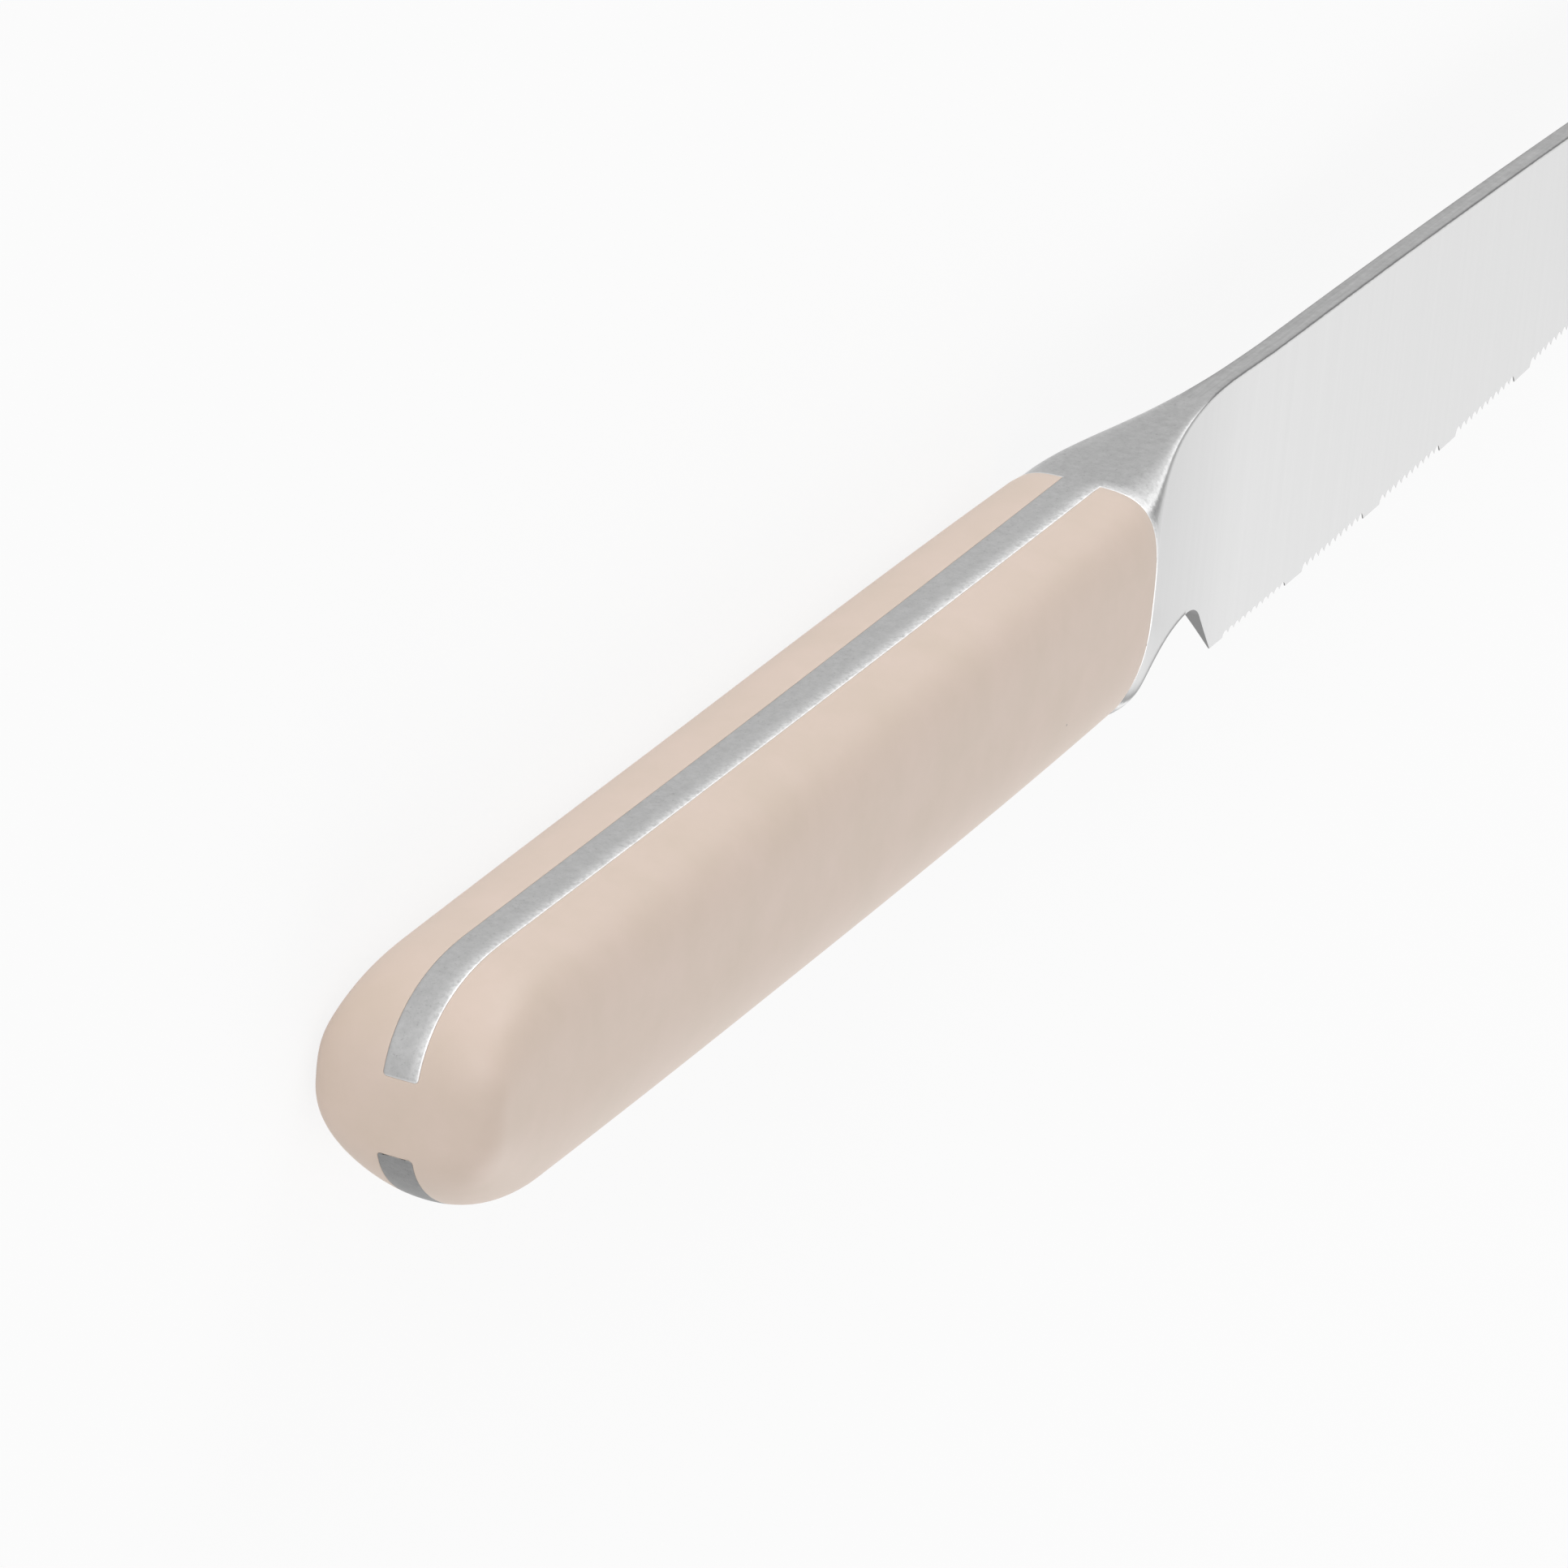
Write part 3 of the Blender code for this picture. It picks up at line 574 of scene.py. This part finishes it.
material, tree, shader = new_material("blush_polypropylene")
place = add_node(tree, "ShaderNodeTexCoord").outputs["Object"]
cloud = add_node(tree, "ShaderNodeTexNoise",
                 {"Scale": PIGMENT_CLOUDS, "Detail": 4.0, "Roughness": 0.6}, {"Vector": place})
tint = add_node(tree, "ShaderNodeValToRGB", None, {"Fac": cloud.outputs["Fac"]}, PIGMENT_TINTS)
grit = add_node(tree, "ShaderNodeTexVoronoi", {"Scale": SPECKS}, {"Vector": place})
speck = ranged(tree, grit.outputs["Distance"], SPECK_SPAN)
speckled = add_node(tree, "ShaderNodeMixRGB", {"Color2": linear(SPECK_COLOUR)},
                    {"Fac": speck, "Color1": tint.outputs[0]})
tree.links.new(speckled.outputs[0], shader.inputs["Base Color"])
grain = add_node(tree, "ShaderNodeTexNoise", {"Scale": MOULD_GRAIN, "Detail": 3.0},
                 {"Vector": place})
sheen = ranged(tree, cloud.outputs["Fac"], onto=PLASTIC_ROUGHNESS)
tree.links.new(sheen, shader.inputs["Roughness"])
relief = add_node(tree, "ShaderNodeBump",
                  {"Strength": MOULD_GRAIN_STRENGTH, "Distance": MOULD_GRAIN_HEIGHT},
                  {"Height": grain.outputs["Fac"]})
tree.links.new(relief.outputs[0], shader.inputs["Normal"])
shader.inputs["IOR"].default_value = POLYPROPYLENE_IOR
grip.data.materials.append(material)
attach(grip, "root")
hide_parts("handle_grip")


# Bolster and tang: one forging of stainless steel, blasted. The tang lies between the grip's
# sides and shows as a strip, and the bolster's flanks scoop down to the blade's thickness.
SEAM_REACH = 8.0 * MM
RIDGE_WIDTH_AT_SEAM = 2.5 * MM
RIDGE_WIDTH_AT_BLADE = 0.3 * MM
RIDGE_NARROWING = 2.2
RIDGE_RISE_AT_SEAM = 0.7 * MM
RIDGE_RISE_FADING = 8
FAR_FROM_RIDGE = 9.0
# How far the painted highlight along the metal's rim reaches
RIM_HIGHLIGHT_REACH = 0.17 * MM

# Greys from the blasted back over the ridge into the ground side, and across the corner of the
# blade's spine. The bright ridge is a painted highlight and its dark foot is painted shade. The
# back's darker grey is partly its duller blasted finish and partly a painted reflection of shade.
# Places are counted in widths of the ridge.
RIDGE_SPAN = 6.0
RIDGE_HIGHLIGHT_AND_SHADE_TONES = ((-3.0, "AAAAAA"), (-1.6, "ACACAC"), (-0.8, "B8B8B8"), (-0.42, "CBCBCB"),
               (-0.26, "E2E2E2"), (-0.08, "ECECEC"), (0.06, "DADADA"), (0.2, "AAAAAA"),
               (0.38, "939393"), (0.62, "A4A4A4"), (0.9, "C2C2C2"), (1.25, "D3D3D3"),
               (1.7, "D8D8D8"))
# Across the spine's corner the dark crease is painted shade
CREASE_PAINTED_SHADE_TONES = ((-3.0, "AFAFAF"), (-0.6, "AAAAAA"), (-0.2, "999999"), (0.12, "737373"),
                (0.4, "7C7C7C"), (0.6, "CECECE"), (0.9, "D8D8D8"))
TONES_CHANGE = (16.0 * MM, 22.0 * MM)
RIDGE_WAVER = 0.1
GROUND_FROM_TO = (0.5, 1.4)

# Counts per millimetre. Blasting and belt leave marks under 0.1 mm, which are drawn at 0.2 mm
# to 0.8 mm so that they show: a cloudy, lightly pitted back and soft streaks on the satin side.
RIDGE_WAVES = 2.6 / MM
BLAST_CLOUDS = 1.5 / MM
BLAST_MARKS = (4.6 / MM, 4.6 / MM, 4.6 / MM)
BELT_STREAKS = (1.3 / MM, 0.022 / MM, 0.022 / MM)
MARK_HEIGHT = 0.006 * MM
MARK_STRENGTH = 0.3

# Brightness over what a noise spans, over how far a face looks up or to the side, and over the
# distance from the seam
NOISE_SPAN = (0.3, 0.7)
CLOUD_SHADES = (0.9, 1.1)
STREAK_SHADES = (0.985, 1.015)
BLAST_PITS = ((0.57, 0.7), (1.02, 0.76))
# Faces that look down get painted shade
FACING_DOWN_TO_UP = (-0.15, 0.15)
UNDERSIDE_PAINTED_SHADES = (0.7, 1.0)
GROUND_PLACES = (6.0 * MM, 32.0 * MM)
GROUND_SHADES = (0.88, 0.97)
# Faces that turn away from the flat side, such as the notch's wall, get painted shade
FACING_NOTCH_TO_SIDE = (0.4, 0.85)
NOTCH_WALL_PAINTED_SHADES = (0.38, 1.0)
STEEL_ROUGHNESS = (0.5, 0.36)


def painted(piece, name, value_at):
    """Gives each vertex of a piece a number of its own, which its material reads."""
    values = [value_at(vertex.co - seam_top) for vertex in piece.data.vertices]
    layer = piece.data.attributes.new(name, "FLOAT", "POINT")
    layer.data.foreach_set("value", values)


def from_ridge(point):
    """Distance from the ridge between back and side, over the ridge's width there: negative on
    the back and positive on the side."""
    lean = seam_x(point.y, point.z)
    if point.x < lean:
        return -FAR_FROM_RIDGE
    x = max((point.x - lean) / (1 - lean / BOLSTER_LENGTH), SEAM_LIP)
    back, under, above, below = bolster_section(x)
    widest = back - (back - under) * WIDEST_SHARE_OF_HEIGHT
    if point.y >= widest:
        corner = 0.5 ** (1 / above)
        down = widest + (back - widest) * corner - point.y
    else:
        corner = 0.5 ** (1 / below)
        down = point.y - widest + (widest - under) * corner
    inward = flank_half(x - SEAM_LIP, point.y) * corner - abs(point.z)
    nearness = max(1 - x / BOLSTER_LENGTH, 0)
    width = RIDGE_WIDTH_AT_BLADE
    width += (RIDGE_WIDTH_AT_SEAM - RIDGE_WIDTH_AT_BLADE) * nearness ** RIDGE_NARROWING
    down += RIDGE_RISE_AT_SEAM * nearness ** RIDGE_RISE_FADING
    return max(min((down - inward) / width, FAR_FROM_RIDGE), -FAR_FROM_RIDGE)


def from_rim(point):
    """Distance from the metal's rim at the seam, along the strip's right edge and at its end."""
    tang = tang_thickness(point.x)
    ahead = point.x - seam_x(point.y, point.z)
    if ahead > -JOINT_ROUND:
        return math.hypot(max(tang / 2 - abs(point.z), 0), max(ahead, 0))
    if point.y < -GRIP_HEIGHT / 2:
        return tang
    away = abs(tang / 2 - point.z)
    if point.x < BUTT_TOP_CORNER[0] - GRIP_LENGTH:
        away = min(away, abs(point.y + BACK_DROP_AT_BUTT + BUTT_NOTCH_BELOW_BACK))
    return away


def times(tree, first, second):
    """The product of two values."""
    return add_node(tree, "ShaderNodeMath", {"operation": "MULTIPLY"},
                    {0: first, 1: second}).outputs[0]


def ridge_highlight_and_shade(tree, ridge, waver, x):
    """Grey by the distance from the ridge, with a painted highlight on it and painted shade at its
    foot; the distance wavers as the wheel and the blasting left it. Past the bolster the ridge's
    greys give way to those of the spine's corner, where a dark crease is painted shade."""
    moved = ranged(tree, waver, NOISE_SPAN, (-RIDGE_WAVER, RIDGE_WAVER))
    worn = add_node(tree, "ShaderNodeMath", {"operation": "ADD"}, {0: ridge, 1: moved})
    spread = ranged(tree, worn.outputs[0], (-RIDGE_SPAN / 2, RIDGE_SPAN / 2))
    tones = [add_node(tree, "ShaderNodeValToRGB", None, {"Fac": spread},
                      [(0.5 + far / RIDGE_SPAN, colour) for far, colour in stops])
             for stops in (RIDGE_HIGHLIGHT_AND_SHADE_TONES, CREASE_PAINTED_SHADE_TONES)]
    onward = ranged(tree, x, [seam_top.x + far for far in TONES_CHANGE])
    return add_node(tree, "ShaderNodeMixRGB", None,
                    {"Fac": onward, "Color1": tones[0].outputs[0],
                     "Color2": tones[1].outputs[0]})


def blasted_finish(tree, place, marks, pits, upward):
    """Brightness of the blasted back: cloudy, with small pits. Faces that look down are darker,
    which is painted shade.
    """
    cloud = add_node(tree, "ShaderNodeTexNoise",
                     {"Scale": BLAST_CLOUDS, "Detail": 6.0, "Roughness": 0.7}, {"Vector": place})
    clouded = ranged(tree, cloud.outputs["Fac"], NOISE_SPAN, CLOUD_SHADES)
    pitted = ranged(tree, marks, *pits)
    # Painted shade on faces that look down
    under = ranged(tree, upward, FACING_DOWN_TO_UP, UNDERSIDE_PAINTED_SHADES)
    return times(tree, times(tree, clouded, pitted), under)


def ground_finish(tree, streaks, x, outward):
    """Brightness of the ground side: streaked across by the belt, brighter away from the seam,
    with painted shade on faces that turn away from the flat side, such as the finger notch's wall."""
    streaked = ranged(tree, streaks, NOISE_SPAN, STREAK_SHADES)
    along = ranged(tree, x, [seam_top.x + far for far in GROUND_PLACES], GROUND_SHADES)
    flat = add_node(tree, "ShaderNodeMath", {"operation": "ABSOLUTE"}, {0: outward})
    # Painted shade on faces that turn away from the flat side
    painted_wall_shade = ranged(tree, flat.outputs[0], FACING_NOTCH_TO_SIDE, NOTCH_WALL_PAINTED_SHADES)
    return times(tree, times(tree, streaked, along), painted_wall_shade)


def steel(name, grain, pits):
    """Steel that is blasted on its back and underside, and ground satin on its flat sides. Its
    colour
    holds painted light: a highlight on the bolster's ridge between them, painted shade at the
    ridge's foot, a dark crease of painted shade along the blade's spine, and painted shade on
    faces that look down or turn away from the flat side."""
    material, tree, shader = new_material(name)
    shader.inputs["Metallic"].default_value = 1
    coordinates = add_node(tree, "ShaderNodeTexCoord")
    place = coordinates.outputs["Object"]
    spot = add_node(tree, "ShaderNodeSeparateXYZ", None, {0: place})
    facing = add_node(tree, "ShaderNodeSeparateXYZ", None, {0: coordinates.outputs["Normal"]})
    ridge = add_node(tree, "ShaderNodeAttribute", {"attribute_name": "from_ridge"})
    waver = add_node(tree, "ShaderNodeTexNoise",
                     {"Scale": RIDGE_WAVES, "Detail": 4.0, "Roughness": 0.7}, {"Vector": place})
    stretch = add_node(tree, "ShaderNodeMapping", {"Scale": grain}, {"Vector": place})
    marks = add_node(tree, "ShaderNodeTexNoise", {"Scale": 1.0, "Detail": 4.0, "Roughness": 0.7},
                     {"Vector": stretch.outputs[0]})
    across = add_node(tree, "ShaderNodeMapping", {"Scale": BELT_STREAKS}, {"Vector": place})
    streaks = add_node(tree, "ShaderNodeTexNoise",
                       {"Scale": 1.0, "Detail": 5.0, "Roughness": 0.75},
                       {"Vector": across.outputs[0]})
    side = ranged(tree, ridge.outputs["Fac"], GROUND_FROM_TO)
    # Painted highlight and painted shade across the ridge, and painted shade in the spine's crease
    painted_ridge_light = ridge_highlight_and_shade(tree, ridge.outputs["Fac"], waver.outputs["Fac"], spot.outputs["X"])
    blasted = blasted_finish(tree, place, marks.outputs["Fac"], pits, facing.outputs["Y"])
    ground = ground_finish(tree, streaks.outputs["Fac"], spot.outputs["X"], facing.outputs["Z"])
    finish = add_node(tree, "ShaderNodeMix", None, {0: side, 2: blasted, 3: ground})
    shade = add_node(tree, "ShaderNodeMixRGB", {"blend_type": "MULTIPLY", "Fac": 1.0},
                     {"Color1": painted_ridge_light.outputs[0], "Color2": finish.outputs[0]})
    tree.links.new(shade.outputs[0], shader.inputs["Base Color"])
    polish = ranged(tree, side, onto=STEEL_ROUGHNESS)
    tree.links.new(polish, shader.inputs["Roughness"])
    heights = add_node(tree, "ShaderNodeMix", None,
                       {0: side, 2: marks.outputs["Fac"], 3: streaks.outputs["Fac"]})
    relief = add_node(tree, "ShaderNodeBump",
                      {"Strength": MARK_STRENGTH, "Distance": MARK_HEIGHT},
                      {"Height": heights.outputs[0]})
    tree.links.new(relief.outputs[0], shader.inputs["Normal"])
    return material, tree, shader, shade, spot, waver


metal = tube_of("bolster_and_tang", grip_rings + bolster_rings)
carve(metal, plastic_space, "DIFFERENCE")
round_joint(metal, up_to=SEAM_REACH)
painted(metal, "from_ridge", from_ridge)
painted(metal, "from_rim", from_rim)
material, tree, shader, shade, spot, waver = steel(
    "blasted_stainless_steel", BLAST_MARKS, BLAST_PITS)

# The bare strip along the back gets a painted highlight, brightest towards its right edge and in
# spots, and its bare rim, where it meets the plastic, gets a thin painted highlight.
STRIP_FADES_OVER = 1.5 * MM
UPPER_STRIP_FADES = (11.0 * MM, 10.0 * MM)
STRIP_HIGHLIGHT_ACROSS = (-0.2 * MM, 1.7 * MM)
STRIP_HIGHLIGHT_POWER = 2.6
STRIP_HIGHLIGHT_SPOTS = ((0.35, 0.6), (0.3, 1.15))
LEAST_STRIP_HIGHLIGHT = 0.055
STRIP_HIGHLIGHT_COLOUR = "F9F9F9"
RIM_HIGHLIGHT_COLOUR = "F3F3F3"
RIM_HIGHLIGHT_SHARE = 0.6

behind = ranged(tree, spot.outputs["X"],
                (seam_top.x + STRIP_FADES_OVER, seam_top.x - STRIP_FADES_OVER))
upper = ranged(tree, spot.outputs["Y"], [seam_top.y - below for below in UPPER_STRIP_FADES])
edge = ranged(tree, spot.outputs["Z"], [seam_top.z + across for across in STRIP_HIGHLIGHT_ACROSS])
# Painted highlight on the upper strip, strongest at its right edge
painted_strip_highlight = add_node(tree, "ShaderNodeMath", {"operation": "POWER", 1: STRIP_HIGHLIGHT_POWER}, {0: edge})
spots = ranged(tree, waver.outputs["Fac"], *STRIP_HIGHLIGHT_SPOTS)
painted_strip_highlight = add_node(tree, "ShaderNodeMath", {"operation": "MULTIPLY_ADD", 2: LEAST_STRIP_HIGHLIGHT},
                {0: painted_strip_highlight.outputs[0], 1: spots})
painted_strip_highlight = times(tree, painted_strip_highlight.outputs[0], times(tree, behind, upper))
bright = add_node(tree, "ShaderNodeMixRGB", {"Color2": linear(STRIP_HIGHLIGHT_COLOUR)},
                  {"Fac": painted_strip_highlight, "Color1": shade.outputs[0]})
# A thin painted highlight along the metal's rim at the seam and along the strip's right edge
rim = add_node(tree, "ShaderNodeAttribute", {"attribute_name": "from_rim"})
painted_rim_highlight = ranged(tree, rim.outputs["Fac"], (RIM_HIGHLIGHT_REACH, 0.0), (0.0, RIM_HIGHLIGHT_SHARE))
bright = add_node(tree, "ShaderNodeMixRGB", {"Color2": linear(RIM_HIGHLIGHT_COLOUR)},
                  {"Fac": painted_rim_highlight, "Color1": bright.outputs[0]})
tree.links.new(bright.outputs[0], shader.inputs["Base Color"])
metal.data.materials.append(material)
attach(metal, "root")
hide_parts("bolster_tang")


# The blade: thin stainless steel, ground flat on the right and bevelled on the left, with
# groups of pointed teeth that are ground in from the left side. It is welded to the bolster.
EDGE_THICKNESS = 0.1 * MM
SPINE_BREAK = 0.09 * MM
SPINE_BREAK_STEPS = 3
SPINE_SUPPORTS = ((0.13 * MM, 0.4), (0.6 * MM, 0.8))
BEVEL_HEIGHT = 4.1 * MM
BEVEL_SHARE_AT_TIP = 0.7
NOTCH_WALL_RUN = 3.0 * MM
NOTCH_WALL_TOP = 19.2 * MM
NOTCH_ARC = math.radians(65)
NOTCH_STEPS = 24
HEEL_SMOOTH = 2.4 * MM
TOOTH_PERIOD = 15.0 * MM
LAND_LENGTH = 3.15 * MM
SCALLOPS_IN_GROUP = 11
SCALLOP_DEPTH = 0.55 * MM
FIRST_GROUP_DEPTH_SHARE = 0.75
TOOTH_RECESS = 0.06 * MM
TIP_SMOOTH = 5.0 * MM
SCALLOP_GRIND_ANGLE = math.radians(30)
SCALLOP_STEPS = 12
COMB_OVERHANG = 2 * SCALLOP_DEPTH
COMB_WIDTH = 6 * SCALLOP_DEPTH
WHEEL_PAST_RIGHT_SIDE = SPINE_THICKNESS_AT_HEEL / 4
EDGE_STEP = 0.015 * MM
BLADE_ROOT_RINGS = 32
BLADE_RINGS = 30
TIP_RINGS = 40
SMOOTH_ANGLE = math.radians(20)
SPINE_MARKS = (0.18 / MM, 4.2 / MM, 4.2 / MM)
SPINE_STREAKS = ((0.35, 0.7), (1.05, 0.86))


def blade_ring(x):
    """Section of the blade: right side, spine, left side, bevel and edge."""
    spine, edge = spine_y(x), edge_y(x)
    shoulder = edge + min(BEVEL_HEIGHT, BEVEL_SHARE_AT_TIP * (spine - edge))
    edge_right = flank_half(x - SEAM_LIP, edge)
    turns = [math.pi / 2 * i / SPINE_BREAK_STEPS for i in range(SPINE_BREAK_STEPS + 1)]
    corner = [(SPINE_BREAK * (1 - math.sin(turn)), SPINE_BREAK * (1 - math.cos(turn)))
              for turn in turns]
    plain = max(spine - SPINE_BREAK - shoulder, 0)
    corner += [(0, SPINE_BREAK + min(drop, plain * share)) for drop, share in SPINE_SUPPORTS]
    left = [(x, spine - drop, inset - flank_half(x - SEAM_LIP, spine - drop))
            for inset, drop in corner]
    right = [(x, y, -z) for x, y, z in reversed(left)]
    bevel = [(x, shoulder, -flank_half(x - SEAM_LIP, shoulder)),
             (x, edge, edge_right - EDGE_THICKNESS), (x, edge, edge_right)]
    return right + [(x, spine, 0)] + left + bevel


def from_crease(point):
    """As from_ridge, for the corner between the blade's spine and its sides."""
    inward = flank_half(point.x - SEAM_LIP, point.y) - abs(point.z)
    share = (spine_y(point.x) - point.y - inward) / RIDGE_WIDTH_AT_BLADE
    return max(min(share, FAR_FROM_RIDGE), -FAR_FROM_RIDGE)


def walk_edge():
    """Points of the cutting edge by distance from the heel, as (x, y, slope angle)."""
    x, track = HEEL_FROM_SEAM, []
    while x < TIP_X:
        angle = math.atan2(edge_y(x + EDGE_STEP) - edge_y(x), EDGE_STEP)
        track.append((x, edge_y(x), angle))
        x += EDGE_STEP * math.cos(angle)
    return track


def comb_outline():
    """Outline of the tooth cutter at the right side: arched scallops, and below them a margin."""
    track = walk_edge()

    def at(distance, inset):
        x, y, angle = track[min(round(distance / EDGE_STEP), len(track) - 1)]
        return (x - inset * math.sin(angle), y + inset * math.cos(angle))

    length = len(track) * EDGE_STEP
    group_length = TOOTH_PERIOD - LAND_LENGTH
    pitch = group_length / SCALLOPS_IN_GROUP
    groups = int((length - HEEL_SMOOTH - TIP_SMOOTH + LAND_LENGTH) / TOOTH_PERIOD)
    outline = []
    for group in range(groups):
        start = HEEL_SMOOTH + group * TOOTH_PERIOD
        depth = SCALLOP_DEPTH * (FIRST_GROUP_DEPTH_SHARE if group == 0 else 1)
        outline.append(at(start, -COMB_OVERHANG))
        outline.append(at(start, 0))
        for scallop in range(SCALLOPS_IN_GROUP):
            for i in range(1, SCALLOP_STEPS + 1):
                share = i / SCALLOP_STEPS
                last = scallop == SCALLOPS_IN_GROUP - 1 and i == SCALLOP_STEPS
                inset = 0 if last else TOOTH_RECESS + depth * 4 * share * (1 - share)
                outline.append(at(start + pitch * (scallop + share), inset))
        outline.append(at(start + group_length, -COMB_OVERHANG))
    finish_at = HEEL_SMOOTH + groups * TOOTH_PERIOD - LAND_LENGTH
    for i in range(groups * 2 + 1):
        back = (finish_at - HEEL_SMOOTH) * i / (groups * 2)
        outline.append(at(finish_at - back, -COMB_WIDTH))
    return outline


def notch_outline():
    """The finger notch: flat under the blade's root, then a wall that leans to the heel."""
    wall_top = (HEEL_FROM_SEAM - NOTCH_WALL_RUN, -NOTCH_WALL_TOP)
    start = (BOLSTER_LENGTH, -CROWN_DEPTH)
    reach = (wall_top[0] - start[0]) / math.sin(NOTCH_ARC)
    fall = (wall_top[1] - start[1]) / (1 - math.cos(NOTCH_ARC))
    outline = [(start[0] - MARGIN, -CROWN_DEPTH)]
    for i in range(NOTCH_STEPS + 1):
        angle = NOTCH_ARC * i / NOTCH_STEPS
        outline.append((start[0] + reach * math.sin(angle),
                        start[1] + fall * (1 - math.cos(angle))))
    slope = NOTCH_WALL_RUN / (HEEL_DEPTH - NOTCH_WALL_TOP)
    outline.append((HEEL_FROM_SEAM, -HEEL_DEPTH))
    outline.append((HEEL_FROM_SEAM + slope * MARGIN, -HEEL_DEPTH - MARGIN))
    outline.append((start[0] - MARGIN, -HEEL_DEPTH - MARGIN))
    return outline


body = BOLSTER_LENGTH + ROOT_SETTLE
tip_curve = TIP_X - TIP_CURVE_LENGTH
stations = [BOLSTER_LENGTH + (body - BOLSTER_LENGTH) * i / BLADE_ROOT_RINGS
            for i in range(BLADE_ROOT_RINGS + 1)]
stations += [body + (tip_curve - body) * i / BLADE_RINGS for i in range(1, BLADE_RINGS + 1)]
stations += [tip_curve + TIP_CURVE_LENGTH * i / TIP_RINGS for i in range(1, TIP_RINGS + 1)]
blade = tube_of("serrated_blade", [blade_ring(x) for x in stations])
notch = slab_of("finger_notch", notch_outline(), -HALF_SEAM_WIDTH, HALF_SEAM_WIDTH)
carve(blade, notch, "DIFFERENCE")
# The wheel leans, so the teeth's outline, given at the right side, lies higher at its left end
right = blade_half(HEEL_FROM_SEAM, -HEEL_DEPTH)
low, high = right - SPINE_THICKNESS_AT_HEEL, right + WHEEL_PAST_RIGHT_SIDE
rise = 1 / math.tan(SCALLOP_GRIND_ANGLE)
outline = [(x, y + (right - low) * rise) for x, y in comb_outline()]
wheel = slab_of("tooth_wheel", outline, low, high, (0, (low - high) * rise, 0))
carve(blade, wheel, "DIFFERENCE")
bpy.ops.object.shade_smooth_by_angle(angle=SMOOTH_ANGLE)
# The distance from the spine's corner places a dark crease of painted shade
painted(blade, "from_ridge", from_crease)
material = steel("satin_stainless_steel", SPINE_MARKS, SPINE_STREAKS)[0]
blade.data.materials.append(material)
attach(blade, "root")
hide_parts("blade")
